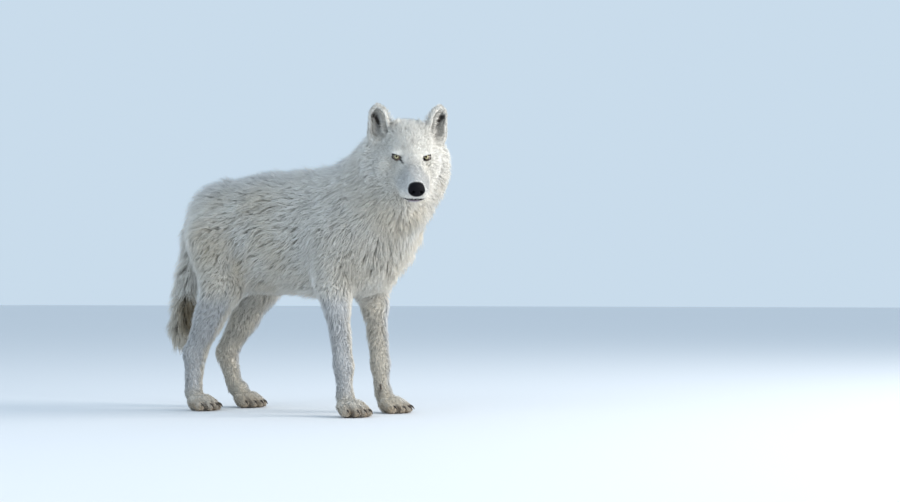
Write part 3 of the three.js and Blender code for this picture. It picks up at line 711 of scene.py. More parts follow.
def drift(p, size, seed):
    """A slow wandering value between about -1 and 1 over the body, with waves of a size in millimetres."""
    waves = np.random.default_rng(seed)
    total = 0
    for _ in range(7):
        turn = waves.normal(size=3)
        turn *= 2 * math.pi / (size * waves.uniform(0.7, 1.5)) / np.linalg.norm(turn)
        total = total + np.sin(p @ turn + waves.uniform(0, 2 * math.pi))
    return total / 3.2


def fade(value, start, end):
    """From 0 at the start to 1 at the end, eased at both."""
    t = np.clip((value - start) / (end - start), 0, 1)
    return t * t * (3 - 2 * t)


def blended(colours, other, share):
    """Colours with a share of another colour in them."""
    return colours + (np.array(other) - colours) * np.atleast_1d(share)[:, None]


WARM_PLACES = (  # place, reach, share of the warm colour
    ((-250, 0, 470), 190, 0.45),
    ((-40, 0, 430), 170, 0.55),
    ((-120, 0, 600), 150, 0.40),
    ((300, 0, 420), 120, 0.55),
    ((420, -60, 600), 130, 0.70),
    ((-480, 0, 260), 90, 0.45),
)
BROW_FLECKS = (  # place in the head's frame, reach, share of the dark fur
    ((2, -25, 30), 6, 0.5),
    ((-6, 3, 42), 6, 0.45),
    ((4, 14, 28), 4, 0.2),
    ((-20, -12, 60), 5, 0.25),
)


def coat_tint(p):
    """The colours of the coat: cream, greyer on back and legs, warmer below, tan on the toes, with painted
    shade on the outer sides of the legs and between the toes.
    """
    p = np.asarray(p, np.float32)
    tint = np.tile(np.array(CREAM), (len(p), 1))
    warm = 0
    for at, reach, share in WARM_PLACES:
        off2 = ((p - np.array(at)) ** 2 * (1, 0.3, 1)).sum(1)
        warm = warm + share * np.exp(-off2 / reach**2)
    warm = warm * (0.75 + 0.5 * drift(p, 110, 3)) + 0.25 * fade(-p[:, 2], -330, -120)
    tint = blended(tint, WARM, np.clip(warm, 0, 1))
    saddle = fade(p[:, 2] - 0.12 * p[:, 0], 660, 760) * (p[:, 0] < 260) * 0.8
    tint = blended(tint, SADDLE_GREY, saddle)
    tint = tint * (1 - 0.19 * fade(-p[:, 2], -340, -240))[:, None]  # legs a little greyer
    leg_height = fade(-p[:, 2], -400, -330)
    aside = np.abs(p[:, 1])
    # painted shade on the outer sides of the legs, above the toes
    tint = blended(tint, PAINTED_LEG_SHADE, 0.55 * leg_height * fade(aside, 98, 116) * fade(p[:, 2], 40, 90))
    tint = blended(tint, WARM, 0.45 * leg_height * fade(-aside, -108, -92))
    toes = fade(-p[:, 2], -50, -8) * (0.7 + 0.3 * drift(p, 30, 4))
    tint = blended(tint, TAN, np.clip(toes * 0.9, 0, 1))
    # painted shade: dark lines in the gaps between the toes of each paw
    for place in paw_places.values():
        at = into(place, p)
        between = np.abs(((at[:, 1] / PAW_SPREAD + 0.5) % 1) - 0.5) * PAW_SPREAD  # from the toes' gap
        toe_gap_shade = fade(-between, -6, -2) * fade(at[:, 0], 34, 50) * (at[:, 0] < 110) * fade(-at[:, 2], -44, -16)
        tint = blended(tint, DARK_FUR_AND_TOE_SHADE, 0.75 * toe_gap_shade * (np.abs(at[:, 1]) < 36))
    tail_x, tail_z = (np.array(TAIL[::-1])[:, m] for m in (0, 1))
    off = np.stack([p[:, 0] - np.interp(p[:, 2], tail_z, tail_x), p[:, 1]], 1)
    away = np.linalg.norm(off, axis=1)
    streak = fade(off @ TAIL_STREAK_FACES / (away + 4), 0.2, 0.8)
    streak = streak * fade(-np.abs(p[:, 2] - TAIL_STREAK_HEIGHT), -80, -35) * (away < 45)
    tint = blended(tint, OLIVE, 0.75 * streak)
    tint = blended(tint, UMBER, 0.45 * fade(streak, 0.6, 1.0))
    beside = np.stack([p[:, 0], np.abs(p[:, 1]), p[:, 2]], 1)
    dewclaw = np.exp(-(((beside - np.array(DEWCLAW_SPOT)) / DEWCLAW_SPOT_SIZE) ** 2).sum(1))
    tint = blended(tint, DARK_FUR_AND_TOE_SHADE, 0.85 * dewclaw)
    return tint * (1 + 0.05 * drift(p, 60, 5))[:, None]


def ear_streak(name, ear):
    """How much a point of an ear's frame is on the dark and almost bare streak of its cup."""
    lean = ear[:, 1] - SIDES[name] * 0.44 * (ear[:, 2] - 14)
    return np.exp(-((lean / 9) ** 2)) * fade(-ear[:, 2], -66, -44)


TEAR_LINE = {"right": 0.95, "left": 0.45}  # how dark the line from the inner corner of the eye is


def face_marks(p, tint):
    """The dark of the eye rims, tear lines, lips and inner ears, with painted shade on the muzzle, laid over
    a tint at points of the wolf.
    """
    p = np.asarray(p, np.float32)
    for name, place in orbit_places.items():
        at = into(place, p)
        rim = lid_opening(at)
        front = at[:, 0] > 4
        tint = blended(tint, BLACK_SKIN, fade(rim_width(at) - rim, -0.9, 0.1) * front * (np.abs(rim) < 12))
        s = SIDES[name]
        along = np.clip(((at[:, 1] + s * 12) * -s * 0.93 + (at[:, 2] + 3) * -0.37) / 19, 0, 1)
        off = np.hypot(at[:, 1] + s * (12 + 17.7 * along), at[:, 2] + 3 + 7.0 * along)
        tear = fade(-off, -5.5 + 2.0 * along, -3.0 + 1.5 * along) * front * TEAR_LINE[name]
        tint = blended(tint, BLACK_SKIN, tear)
    head = into(HEAD, p)
    # painted shade: grey over the bridge and upper sides of the muzzle, above the lips
    muzzle_shade = 0.65 * fade(head[:, 0], 10, 70) * fade(head[:, 2], -78, -58) * (np.abs(head[:, 1]) < 60)
    tint = blended(tint, PAINTED_MUZZLE_SHADE, muzzle_shade)
    over = mouth_gap(head)
    on_lips = fade(head[:, 0], 30, 60)
    lower = fade(-np.abs(over + 6), -5.5, -2.5) * fade(head[:, 0], 86, 100)
    lower = lower * fade(-np.abs(head[:, 1]), -24, -12)
    tint = blended(tint, LIP_SKIN, 0.8 * lower)
    front = fade(head[:, 0], 90, 104)
    seam = fade(-np.abs(over) + 1.5 + 3.3 * front, -1.0, 0.2) * on_lips * (0.3 + 0.7 * front)
    tint = blended(tint, BLACK_SKIN, seam)
    tint = blended(tint, BLACK_SKIN, 0.9 * fade(-nose_pad(head), -2.6, -1.2))
    for at, reach, share in BROW_FLECKS:
        fleck = np.exp(-(((head - np.array(at)) / reach) ** 2).sum(1))
        tint = blended(tint, DARK_FUR_AND_TOE_SHADE, share * fleck)
    for name, place in ear_places.items():
        ear = into(place, p)
        inside = fade(-ear_cup(ear), -5, -1) * (ear[:, 0] > -30) * fade(ear[:, 2], -2, 12) * (in_ear(p) < 12)
        tint = blended(tint, EAR_GREY, 0.2 * inside)
        tint = blended(tint, EAR_SKIN, np.clip(inside * ear_streak(name, ear) * 2.0, 0, 0.97))
    return tint


# painted shade: the hide takes the coat's colours darkened to 0.82, for the shade among the hairs over it
skin_tint = face_marks(skin_points, coat_tint(skin_points) * 0.82)
skin_tint = blended(skin_tint, PAD_SKIN, fade(-skin_points[:, 2], -5, -2))  # bare pads under the feet
hide_finish, tree, shader = finish("hide_under_the_coat", Roughness=0.8, Specular_IOR_Level=0.08)
tinted(tree, shader)
bumped(tree, shader, 900, 0.5, 0.0015, stretch=(1, 1, 0.35))
skin = piece("skin", skin_points, skin_faces, hide_finish)
painted(skin, skin_tint)
PAIRED = ("ear", "upper_arm", "forearm", "thigh", "shank", "paw_fore", "paw_hind")
FLESH = ["trunk", "neck", "head", "lower_jaw", "tail"]
FLESH += [f"{part}_{name}" for name in SIDES for part in PAIRED]
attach(skin, "root")
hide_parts(*FLESH)

# ---------------------------------------------------------------- eyes
# Two glass eyes in their sockets, each a ball with a low cornea: pale amber iris with a dark edge, small
# round pupil, brown-grey white of the eye. Both look where the wolf looks.

GAZE_TURN, GAZE_RAISE = -9.6, 24.0
IRIS, PUPIL, CORNEA = 7.2, 2.9, 1.1
PALE_AMBER, DEEP_AMBER, IRIS_EDGE = (0.50, 0.47, 0.30), (0.30, 0.22, 0.07), (0.03, 0.02, 0.012)
EYE_WHITE, PUPIL_BLACK = (0.20, 0.16, 0.13), (0.004, 0.004, 0.004)
FRONT_RINGS, BACK_RINGS, EYE_SPOKES = 40, 17, 72


def tube_faces(rings, spokes):
    """The faces of a tube of rings, closed at both ends by the two points that come last."""
    rows = np.arange(rings - 1)[:, None] * spokes
    a = (rows + np.arange(spokes)).ravel()
    b = (rows + (np.arange(spokes) + 1) % spokes).ravel()
    first = np.arange(spokes)
    last = (rings - 1) * spokes + first
    root = np.full(spokes, rings * spokes)
    faces = (
        (a, b, b + spokes),
        (a, b + spokes, a + spokes),
        (root, np.roll(first, -1), first),
        (root + 1, last, np.roll(last, -1)),
    )
    return np.concatenate([np.stack(corners, 1) for corners in faces])


# the ball looks along x, and its rings lie closer together over the cornea
polar = [np.linspace(0, 0.75, FRONT_RINGS), np.linspace(0.75, math.pi, BACK_RINGS)[1:]]
polar = np.concatenate(polar)[1:-1]
polar_at, round_at = np.meshgrid(polar, np.arange(EYE_SPOKES) * 2 * math.pi / EYE_SPOKES, indexing="ij")
radius = EYE_RADIUS - 0.1 + CORNEA * np.exp(-((polar_at / 0.42) ** 4))
aside, up = np.cos(round_at), np.sin(round_at)
ball = np.stack(
    [radius * np.cos(polar_at), radius * np.sin(polar_at) * aside, radius * np.sin(polar_at) * up], -1
).reshape(-1, 3)
ball = np.concatenate([ball, [[EYE_RADIUS - 0.1 + CORNEA, 0, 0], [-EYE_RADIUS + 0.1, 0, 0]]])

# the iris: pale amber fibres that darken to the pupil and to the edge, with the dull white round it
away = np.hypot(ball[:, 1], ball[:, 2])
away = np.where(ball[:, 0] < 0, 99, away)
spoke = np.arctan2(ball[:, 2], ball[:, 1])
fibres = 0.5 + 0.5 * np.sin(spoke * 23 + 2 * np.sin(spoke * 7)) * np.sin(spoke * 11 + 1)
eye_tint = np.array(PALE_AMBER) * (0.75 + 0.35 * fibres)[:, None]
eye_tint = blended(eye_tint, DEEP_AMBER, 1 - fade(away, PUPIL, PUPIL + 1.6))
eye_tint = blended(eye_tint, IRIS_EDGE, fade(away, IRIS - 1.9, IRIS - 0.4))
eye_tint = blended(eye_tint, EYE_WHITE, fade(away, IRIS + 0.3, IRIS + 1.6))
eye_tint = blended(eye_tint, PUPIL_BLACK, 1 - fade(away, PUPIL - 0.2, PUPIL + 0.15))

eye_finish, tree, shader = finish("eye", Roughness=0.12, Specular_IOR_Level=0.35)
tinted(tree, shader)
for name, s in SIDES.items():
    seat = HEAD @ placed((-1, s * EYE_APART, 0), GAZE_TURN, -GAZE_RAISE)
    faces = tube_faces(len(polar), EYE_SPOKES)[:, (0, 2, 1)]
    eye = piece(f"eye_ball_{name}", out_of(seat, ball), faces, eye_finish)
    painted(eye, eye_tint)
    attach(eye, "root")
    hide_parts(f"eye_{name}")

# ---------------------------------------------------------------- nose
# The leather of the nose: a bare black pad, pebbled and moist, with comma-shaped nostrils that open to
# the side and a groove down its middle to the lip.

nostrils = pair(
    lambda s: flowing(
        3,
        lump((137, s * 11, -56), (8, 4.6, 4.8)),
        limb((133, s * 14, -60), (122, s * 25, -64), 2.2, 1.2),
    )
)
groove = limb((141, 0, -52), (137, 0, -76), 1.0, 1.8)
nose_mass = hollowed(1.5, nose_pad, *nostrils, groove)
nose_grid = [lines(low, (high, 1.3)) for low, high in ((98, 146), (-27, 27), (-80, -26))]
nose_points, nose_faces = meshed(nose_mass, *nose_grid, coarse=2, reach=8)
nose_points = settled(nose_mass, nose_points, 0.6, 0.2)
nose_finish, tree, shader = finish(
    "nose_leather", Base_Color=(0.006, 0.006, 0.008, 1), Roughness=0.42, Specular_IOR_Level=0.05
)
bumped(tree, shader, 520, 0.55, 0.0012, kind="ShaderNodeTexVoronoi")
nose = piece("nose_pad", out_of(HEAD, nose_points), nose_faces, nose_finish)
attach(nose, "root")
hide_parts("nose")

# ---------------------------------------------------------------- claws
# Horn claws: four on each foot, blunt from walking, and a dewclaw inside each foreleg. Each is a bent rod,
# flattened at its sides and tapering to its tip, with its root sunk in the end of the toe.

CLAW_LONG, CLAW_GIRTH, CLAW_TIP, CLAW_FLAT = 16, 4.0, 0.8, 0.72
CLAW_LINE = np.array(((-6, 0, 4), (6, 0, 3.4), (CLAW_LONG * 0.65, 0, 0), (CLAW_LONG, 0, -7)), float)
CLAW_RINGS, CLAW_SPOKES = 12, 12
CLAW_AHEAD, CLAW_OVER = 9, 5  # from the tip of its toe
DEWCLAW, DEWCLAW_TURN, DEWCLAW_BOW = (240, 86, 80), -24, 58
claw_finish, tree, shader = finish("claw_horn", Roughness=0.42, Base_Color=(0.055, 0.04, 0.03, 1))
bumped(tree, shader, 260, 0.3, 0.0006, stretch=(1, 1, 4))


def claw_points(seat):
    """The rings of a claw along its bent line, then the middles of its root and its tip."""
    t = np.linspace(0, 1, CLAW_RINGS)
    knots = np.linspace(0, 1, len(CLAW_LINE))
    centre = np.stack([np.interp(t, knots, CLAW_LINE[:, m]) for m in range(3)], 1)
    for _ in range(2):
        centre[1:-1] = (centre[:-2] + 2 * centre[1:-1] + centre[2:]) / 4
    ahead = np.gradient(centre, axis=0)
    ahead /= np.linalg.norm(ahead, axis=1)[:, None]
    girth = (CLAW_GIRTH + (CLAW_TIP - CLAW_GIRTH) * t**1.5)[:, None]
    angle = np.arange(CLAW_SPOKES) * 2 * math.pi / CLAW_SPOKES
    across, up = np.cos(angle) * girth * CLAW_FLAT, np.sin(angle) * girth
    x, y, z = (centre[:, m : m + 1] for m in range(3))
    ring = np.stack([x - ahead[:, 2:] * up, y + across, z + ahead[:, :1] * up], -1)
    return np.concatenate([out_of(seat, ring.reshape(-1, 3)), out_of(seat, centre[[0, -1]])])


def claw(name, seat, node):
    """One claw in its seat, in place of the solids' own."""
    made = piece(name, claw_points(seat), tube_faces(CLAW_RINGS, CLAW_SPOKES), claw_finish)
    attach(made, "root")
    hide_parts(node)


for leg, paw_place in paw_places.items():
    for number, toe in enumerate(TOES, 1):
        _, (x, y, z), turn = toe_line(toe)
        seat = paw_place @ placed((x + CLAW_AHEAD, y, z + CLAW_OVER), turn)
        claw(f"nail_{leg}_{number}", seat, f"claw_{leg}_{number}")
for name, s in SIDES.items():
    x, y, z = DEWCLAW
    claw(f"dew_nail_{name}", placed((x, s * y, z), s * DEWCLAW_TURN, DEWCLAW_BOW), f"dewclaw_{name}")

# ---------------------------------------------------------------- coat
# The winter coat: woolly locks of hair, each a bunch of tapering hairs that rise from the hide, bend over
# and close to a point. They follow the combed lie and reach the coat's depth over the skin.

LOCK_STEPS = 4
LOOSE = 0.6  # the share of hairs that don't close to the point of their lock
hair_finish, tree, shader = finish(
    "coat_hair", Roughness=0.65, Specular_IOR_Level=0.2, Sheen_Weight=0.2, Sheen_Roughness=0.5,
)
tinted(tree, shader)

skin_corners = skin_points[skin_faces]
skin_areas = np.cross(skin_corners[:, 1] - skin_corners[:, 0], skin_corners[:, 2] - skin_corners[:, 0])
skin_areas = np.linalg.norm(skin_areas, axis=1) / 2
skin_middles = skin_corners.mean(1).astype(np.float32)
marks_near = np.empty(len(skin_middles), int)
for part in range(0, len(skin_middles), 50000):
    some = skin_middles[part : part + 50000]
    marks_near[part : part + 50000] = ((some[:, None] - COMB[None, :, :3]) ** 2).sum(2).argmin(1)
skin_parts = np.array(MARK_PARTS)[marks_near]
skin_parts = np.where(in_ear(skin_middles) < 7, "ears", skin_parts)


def is_bare(p):
    """Where no hair grows: on the lids and lips, beside the nose and under the feet."""
    head = into(HEAD, p)
    bare = (nose_pad(head) < 2.2) | (p[:, 2] < 4)
    bare |= (np.abs(mouth_gap(head)) < 5.2) & (head[:, 0] > 92) & (np.abs(head[:, 1]) < 40)
    for place in orbit_places.values():
        at = into(place, p)
        bare |= (lid_opening(at) < rim_width(at) + 0.2) & (at[:, 0] > 0) & (np.abs(at[:, 0]) < 22)
    return bare


skin_parts = np.where(is_bare(skin_middles), "bare", skin_parts)


def rooted(part, spacing, dice):
    """Places of locks on a part of the skin, about a spacing apart, and the skin's facing there."""
    mine = np.flatnonzero(skin_parts == part)
    areas = skin_areas[mine]
    count = int(areas.sum() / spacing**2 * 5)
    chosen = mine[dice.choice(len(mine), count, p=areas / areas.sum())]
    u, v = dice.random((2, count, 1))
    fold = u + v > 1
    u, v = np.where(fold, 1 - u, u), np.where(fold, 1 - v, v)
    a, b, c = (skin_corners[chosen, k] for k in range(3))
    places = a + u * (b - a) + v * (c - a)
    facing = np.cross(b - a, c - a)
    facing /= np.linalg.norm(facing, axis=1)[:, None] + 1e-12
    cell = np.floor(places / spacing).astype(int)
    _, kept = np.unique(cell @ np.array((1, 4099, 4099 * 4099)), return_index=True)
    return places[kept], facing[kept]


def grown(places, facing, lie, length, depth):
    """The middle lines of locks: up from the skin and over, along the lie, to the depth of the coat."""
    line = [places]
    p, n = places, facing
    for k in range(1, LOCK_STEPS + 1):
        height = depth * (1 - (1 - k / LOCK_STEPS) ** 2.0)
        rise = height - depth * (1 - (1 - (k - 1) / LOCK_STEPS) ** 2.0)
        run = np.sqrt(np.maximum((length / LOCK_STEPS) ** 2 - rise**2, (0.35 * length / LOCK_STEPS) ** 2))
        along = lie - (lie * n).sum(1)[:, None] * n
        along /= np.linalg.norm(along, axis=1)[:, None] + 1e-9
        p = (p + run[:, None] * along + rise[:, None] * n).astype(np.float32)
        d, slope = slope_of(under_coat, p, 1.5)
        n = slope / (np.linalg.norm(slope, axis=1)[:, None] + 1e-9)
        p = p + (np.clip(height - d, -6, 6) * 0.8)[:, None] * n
        line.append(p)
    return np.stack(line, 1)


FLUFFED = (  # places where the coat is brushed up a little over its depth: rump and crown
    ((-345, 0, 715), 95, 12.0),
    ((-390, 0, 640), 70, 6.0),
    (tuple(out_of(HEAD, (-80, 0, 80))), 40, 3.0),
    (tuple(out_of(HEAD, (-80, 52, 66))), 34, 13.0),
    (tuple(out_of(HEAD, (-80, -52, 66))), 34, 13.0),
)


EAR_GREYED = 0.3
CALM = {"face": 0.35, "ears": 0.35, "paws": 0.35, "ruff": 0.5, "forelegs": 0.5}  # share of the swirls


def groomed(part, places, dice):
    """The lie, length and depth of the locks of a part, swirled and uneven as fur is."""
    lie, length, depth = ear_lie(places) if part == "ears" else coat_at(places)
    swirl = np.stack([drift(places, 90, 11 + m) for m in range(3)], 1) * 0.26
    swirl = swirl + dice.normal(0, 0.10, (len(places), 3))
    lie = lie + CALM.get(part, 1.0) * swirl
    length = length * (1 + 0.10 * drift(places, 70, 20) + dice.normal(0, 0.09, len(places)))
    depth = depth * (1 + 0.08 * drift(places, 50, 21) + dice.normal(0, 0.07, len(places)))
    if part == "face":
        for place in orbit_places.values():
            opening = lid_opening(into(place, places.astype(np.float32)))
            length = length * (0.35 + 0.65 * fade(opening, 4, 20))
    lift = 0
    for at, reach, high in FLUFFED:
        lift = lift + high * np.exp(-((places - np.array(at)) ** 2).sum(1) / reach**2)
    depth = depth + lift
    return lie, length, depth


def bunched(part, places, facing, line, length, spacing, hairs, steps, dice):
    """The hairs of each lock: their paths, spread about its middle line and closing to its tip."""
    side_way = np.cross(facing, line[:, 1] - line[:, 0])
    side_way /= np.linalg.norm(side_way, axis=1)[:, None] + 1e-9
    fore_way = np.cross(side_way, facing)
    lock = np.repeat(np.arange(len(places)), hairs)
    turn = dice.uniform(0, 2 * math.pi, len(lock))
    loose = dice.random(len(lock)) < LOOSE
    out = np.sqrt(dice.random(len(lock))) * spacing * np.where(loose, 0.95, 0.68)
    aside = (np.cos(turn) * out)[:, None] * side_way[lock]
    spread = aside + (np.sin(turn) * out)[:, None] * fore_way[lock]
    growing = ~is_bare((places[lock] + spread).astype(np.float32))
    lock, spread, loose = lock[growing], spread[growing], loose[growing]
    d = under_coat((places[lock] + spread).astype(np.float32))
    sink = -np.clip(d, -8, 8)[:, None] * facing[lock]
    reach = dice.uniform(0.68, 1.06, len(lock))
    s = np.linspace(0, 1, steps + 1)[None, :] * reach[:, None]
    at = s * LOCK_STEPS
    low = np.minimum(at.astype(int), LOCK_STEPS - 1)
    share = (at - low)[..., None]
    middle = line[lock[:, None], low] * (1 - share) + line[lock[:, None], low + 1] * share
    closes = np.where(loose, 0.1, 0.45 if part in CALM else 0.6)
    closing = (1 - closes[:, None] * np.clip(s, 0, 1) ** 1.3)[..., None]
    strays = np.where(loose, 0.085, 0.045) * length[lock]
    stray = dice.normal(0, 1, (len(lock), 1, 3)) * strays[:, None, None] * (s**2)[..., None]
    path = middle + spread[:, None] * closing + sink[:, None] * (1 - np.clip(s, 0, 1))[..., None] + stray
    path[..., 2] = np.maximum(path[..., 2], 0.6)
    return lock, spread, path


def tapered(path, facing, girth, steps, dice):
    """Three-sided hairs along their paths, each closed to a point: their points and faces."""
    ahead = np.gradient(path, axis=1)
    ahead /= np.linalg.norm(ahead, axis=2)[..., None] + 1e-9
    wide_way = np.cross(ahead, facing[:, None])
    wide_way /= np.linalg.norm(wide_way, axis=2)[..., None] + 1e-9
    high_way = np.cross(wide_way, ahead)
    taper = 1 - np.linspace(0, 1, steps + 1) ** 1.6
    girths = girth * dice.uniform(0.75, 1.2, len(path))[:, None] * taper[None, :]
    ring = []
    for q in range(3):
        angle = 2 * math.pi * q / 3 + math.pi / 2
        across = math.cos(angle) * wide_way + 0.6 * math.sin(angle) * high_way
        ring.append(path + girths[..., None] * across)
    body = np.stack(ring, 2)[:, :-1].reshape(len(path), -1, 3)
    points = np.concatenate([body, path[:, -1:]], 1)
    size = points.shape[1]

    one = []
    for k in range(steps - 1):
        for q in range(3):
            a, b = 3 * k + q, 3 * k + (q + 1) % 3
            one += [(a, b, b + 3), (a, b + 3, a + 3)]
    for q in range(3):
        one.append((3 * (steps - 1) + q, 3 * (steps - 1) + (q + 1) % 3, size - 1))
    one.append((2, 1, 0))
    faces = (np.arange(len(path)) * size)[:, None, None] + np.array(one)[None]
    return points, faces


def coat_piece(part, spacing, hairs, girth, steps, axes, seed):
    """One piece of the coat: the locks of a part of the body, as a mesh of tapering hairs."""
    dice = np.random.default_rng(seed)
    places, facing = rooted(part, spacing, dice)
    lie, length, depth = groomed(part, places, dice)
    line = grown(places.astype(np.float32), facing, lie, length, depth)
    lock, spread, path = bunched(part, places, facing, line, length, spacing, hairs, steps, dice)
    points, faces = tapered(path, facing[lock], girth, steps, dice)

    base = coat_tint(places)
    if part == "ears":
        base = blended(base, EAR_GREY, EAR_GREYED)
    base = face_marks(places, base)
    base = base * (1 + 0.07 * dice.normal(0, 1, len(places)))[:, None]
    base = base[lock] * (1 + 0.05 * dice.normal(0, 1, len(lock)))[:, None]
    station = np.concatenate([np.repeat(np.linspace(0, 1, steps + 1)[:-1], 3), [1.0]])
    dark = 0.88 + 0.12 * fade(station, 0.0, 0.7)
    tints = base[:, None] * dark[None, :, None]

    u, v = unwrapped(places[lock] + spread, axes)
    around = np.concatenate([np.tile([0.0, 0.5, 1.0], steps), [0.5]]) - 0.5
    flat = np.stack([u[:, None] + 0.003 * around[None], v[:, None] + 0.003 * (station - 0.5)[None]], -1)
    made = piece(f"coat_{part}", points.reshape(-1, 3), faces.reshape(-1, 3), hair_finish)
    painted(made, np.clip(tints.reshape(-1, 3), 0, 0.92))
    chart = made.data.uv_layers.new(name="OFBake")
    corners = np.clip(flat.reshape(-1, 2), 0, 1)[faces.ravel()]
    chart.data.foreach_set("uv", corners.astype(np.float32).ravel())
    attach(made, "root")
    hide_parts("trunk")


def unwrapped(p, axes):
    """Where points of the skin lie on its unwrap: round and along the nearest of some axes."""
    found = []
    for start, end in axes:
        start, end = np.array(start, float), np.array(end, float)
        along = end - start
        t = (p - start) @ along / (along @ along)
        off = p - start - np.clip(t, 0, 1)[:, None] * along
        upright = abs(along[2]) >= 0.8 * np.linalg.norm(along)
        side_way = np.cross(along, (1, 0.1, 0) if upright else (0.1, 0.2, 1))
        side_way /= np.linalg.norm(side_way)
        up_way = np.cross(side_way, along / np.linalg.norm(along))
        found.append((np.linalg.norm(off, axis=1), np.arctan2(off @ side_way, off @ up_way), t))
    nearest = np.stack([f[0] for f in found]).argmin(0)
    pick = np.arange(len(p))
    angle = np.stack([f[1] for f in found])[nearest, pick] / (2 * math.pi) + 0.5
    t = np.stack([f[2] for f in found])[nearest, pick]
    return (nearest + 0.02 + 0.96 * angle) / len(axes), 0.02 + 0.96 * np.clip((t + 0.3) / 1.6, 0, 1)


def ear_lie(p):
    """The lie of an ear's fur: up to its tip outside, and out over the edges of the cup inside it."""
    lie, length, depth = np.empty((len(p), 3)), np.full(len(p), 11.0), np.full(len(p), 2.5)
    away = {name: np.linalg.norm(p - place[:3, 3], axis=1) for name, place in ear_places.items()}
    right = away["right"] < away["left"]
    for mine, name in ((right, "right"), (~right, "left")):
        place = ear_places[name]
        ear = into(place, p[mine].astype(np.float32))
        cup = fade(-ear_cup(ear), -6, -2) * (ear_leaf(ear) < -3)
        edge = fade(np.abs(ear[:, 1]), 10, 26)
        out = place[:3, 0] / EAR_FLAT
        inward = (cup * edge * 0.5 * np.sign(ear[:, 1]))[:, None] * place[:3, 1]
        lie[mine] = place[:3, 2] + (cup * 0.9)[:, None] * out - inward
        bare = cup * ear_streak(name, ear)
        length[mine] = (11 + 4 * cup) * (1 - 0.65 * bare)
        depth[mine] = (2.5 + 3.5 * cup) * (1 - 0.65 * bare)
    return lie, length, depth


BODY_AXIS = ((-300, 0, 560), (300, 0, 560))
HEAD_AXIS = (tuple(out_of(HEAD, (-120, 0, -40))), tuple(out_of(HEAD, (110, 0, -55))))
NECK_AXIS = ((230, 0, 560), (440, -80, 720))
TAIL_AXIS = ((-370, 0, 640), (-492, 0, 184))
fore_axes = [(leg_lines[leg][0], leg_lines[leg][4]) for leg in ("fore_right", "fore_left")]
hind_axes = [(leg_lines[leg][0], leg_lines[leg][4]) for leg in ("hind_right", "hind_left")]
ear_axes = [(tuple(place[:3, 3]), tuple(out_of(place, (0, 0, 80)))) for place in ear_places.values()]
COAT = (  # part, spacing of its locks, hairs to a lock, girth and steps of a hair, axes, seed
    ("back", 8.5, 6, 1.05, 2, [BODY_AXIS], 1),
    ("sides", 9.6, 6, 1.15, 2, [BODY_AXIS], 2),
    ("belly", 9.8, 6, 1.15, 2, [BODY_AXIS], 3),
    ("chest", 9.6, 6, 1.1, 3, [BODY_AXIS], 12),
    ("neck", 9.0, 6, 1.1, 3, [NECK_AXIS], 4),
    ("forelegs", 7.3, 4, 0.95, 2, fore_axes, 5),
    ("hindlegs", 8.2, 4, 1.05, 2, hind_axes, 6),
    ("tail", 8.0, 6, 1.1, 3, [TAIL_AXIS], 7),
    ("paws", 6.0, 3, 0.75, 2, fore_axes + hind_axes, 8),
    ("face", 4.8, 5, 0.46, 2, [HEAD_AXIS], 9),
    ("ruff", 7.0, 6, 0.78, 2, [HEAD_AXIS], 10),
    ("ears", 4.6, 3, 0.5, 2, ear_axes, 11),
)
for row in COAT:
    coat_piece(*row)

# ---------------------------------------------------------------- whiskers
# Stiff pale whiskers in rows on the upper lips and a few over each eye: tapering bristles, each seated on
# the hide, that stand out and sweep back.

WHISKER_GIRTH, WHISKER_STEPS = 0.42, 7
WHISKER_ROOTS = [(86 - 13 * k - 4 * row, 30 + 3.0 * k, -62 - 8 * row) for row in range(3) for k in range(4)]
whisker_finish, tree, shader = finish("whisker", Base_Color=(0.62, 0.60, 0.56, 1), Roughness=0.45)
dice = np.random.default_rng(31)
for name, s in SIDES.items():
    roots = [(np.array((x, s * y, z), float), (-0.45, s * 0.85, -0.25), 52) for x, y, z in WHISKER_ROOTS]
    roots += [(np.array((4 - 3 * k, s * (34 + 7 * k), 27.0)), (0.1, s * 0.5, 0.85), 26) for k in range(3)]
    points, faces = [], []
    for root, way, long in roots:
        seat = settled(skin_field, out_of(HEAD, root)[None], 6.0, rounds=4)[0]
        way = HEAD[:3, :3] @ (np.array(way) + dice.normal(0, 0.10, 3))
        way /= np.linalg.norm(way)
        sweep = HEAD[:3, :3] @ np.array((-1.0, 0, -0.15))
        t = np.linspace(0, 1, WHISKER_STEPS)[:, None]
        long = long * dice.uniform(0.7, 1.1)
        path = seat + way * (t * long - 2) + sweep * (t**2) * long * 0.35
        ahead = np.gradient(path, axis=0)
        ahead /= np.linalg.norm(ahead, axis=1)[:, None]
        across = np.cross(ahead, (0.0, 0.0, 1.0))
        across /= np.linalg.norm(across, axis=1)[:, None]
        over = np.cross(across, ahead)
        girth = WHISKER_GIRTH * (1 - 0.85 * t)
        sides = [math.cos(a) * across + math.sin(a) * over for a in (0.0, 2.1, 4.2)]
        ring = np.stack([path + girth * side for side in sides], 1)
        first = sum(len(p) for p in points)
        points.append(ring.reshape(-1, 3))
        for k in range(WHISKER_STEPS - 1):
            for q in range(3):
                a, b = first + 3 * k + q, first + 3 * k + (q + 1) % 3
                faces += [(a, b, b + 3), (a, b + 3, a + 3)]
        last = first + 3 * (WHISKER_STEPS - 1)
        faces += [(first + 2, first + 1, first), (last, last + 1, last + 2)]
    whiskers = piece(f"whiskers_{name}", np.concatenate(points), faces, whisker_finish)
    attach(whiskers, "root")

# ---------------------------------------------------------------- floor, light and camera
# A pale floor under a pale blue sky. A broad warm light stands before the wolf, a little to its left, with
# a low one beside it, and a weak cool one at its right. The camera is low before its right shoulder.

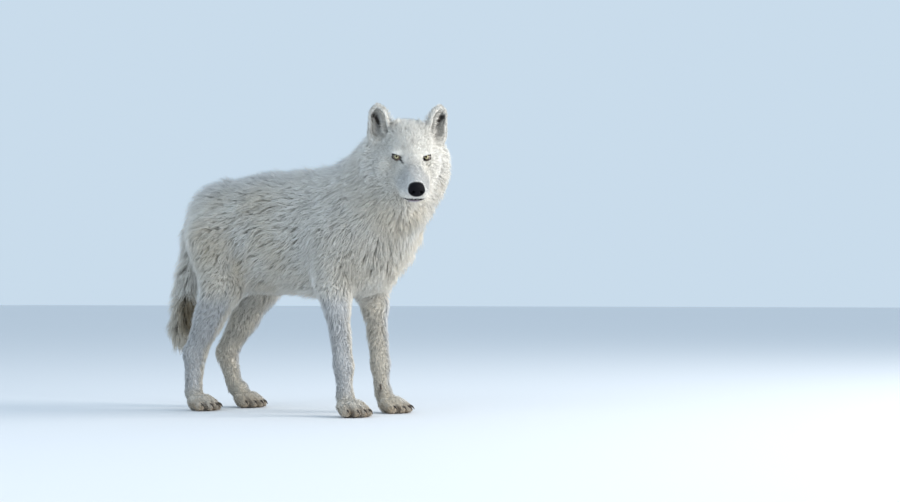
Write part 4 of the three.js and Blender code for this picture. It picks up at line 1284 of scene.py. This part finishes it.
VIEW_SIDE, VIEW_AWAY, VIEW_HEIGHT = 36.0, 5500.0, 355.0  # degrees off square to the spine, mm, mm
LENS, SENSOR, LOOK_ASIDE, LOOK_UP = 70.0, 36.0, 4.867, 1.54
azimuth = math.radians(VIEW_SIDE - 90)
eye_at = np.array((VIEW_AWAY * math.cos(azimuth), VIEW_AWAY * math.sin(azimuth), VIEW_HEIGHT))
heading = math.radians(VIEW_SIDE + 90 - LOOK_ASIDE)
ahead = Vector((math.cos(heading), math.sin(heading), math.tan(math.radians(LOOK_UP)))).normalized()
camera_data = bpy.data.cameras.new("camera")
camera_data.lens, camera_data.sensor_width, camera_data.sensor_fit = LENS, SENSOR, "HORIZONTAL"
camera = bpy.data.objects.new("camera", camera_data)
camera.location = Vector(metres(eye_at))
camera.rotation_euler = ahead.to_track_quat("-Z", "Y").to_euler()
bpy.context.scene.collection.objects.link(camera)
bpy.context.scene.camera = camera

FLOOR_HALF, FLOOR_TOP = 60.0, -0.0002  # metres
floor_mesh = bpy.data.meshes.new("floor")
floor_ring = [(x * FLOOR_HALF, y * FLOOR_HALF, FLOOR_TOP) for x, y in ((-1, -1), (1, -1), (1, 1), (-1, 1))]
floor_mesh.from_pydata(floor_ring, [], [(0, 1, 2, 3)])
floor_finish, tree, shader = finish("pale_floor", Base_Color=(0.76, 0.78, 0.81, 1), Roughness=0.9)
bumped(tree, shader, 6.0, 0.05, 0.002)
floor_mesh.materials.append(floor_finish)
floor = bpy.data.objects.new("floor", floor_mesh)
bpy.context.scene.collection.objects.link(floor)


def soft_light(name, aside, height, away, size, watts, colour):
    """A square soft light, at an angle aside of the camera seen from the wolf, that faces the wolf."""
    data = bpy.data.lights.new(name, "AREA")
    data.size, data.energy, data.color = size, watts, colour
    light = bpy.data.objects.new(name, data)
    angle = azimuth + math.radians(aside)
    light.location = (away * math.cos(angle), away * math.sin(angle), height)
    light.rotation_euler = (Vector((0, 0, 0.5)) - light.location).to_track_quat("-Z", "Y").to_euler()
    bpy.context.scene.collection.objects.link(light)


soft_light("key", 76, 3.0, 6.5, 3.6, 450, (1.0, 0.95, 0.88))
soft_light("fill", -50, 2.6, 5.0, 4.0, 60, (0.86, 0.93, 1.0))
soft_light("low_fill", 40, 1.0, 6.0, 2.0, 115, (1.0, 0.96, 0.90))
room = bpy.data.worlds.new("room")
room.use_nodes = True
sky = room.node_tree.nodes["Background"]
sky.inputs["Color"].default_value = (0.68, 0.83, 0.97, 1)
sky.inputs["Strength"].default_value = 0.86
bpy.context.scene.world = room
bpy.context.scene.view_settings.view_transform = "Standard"
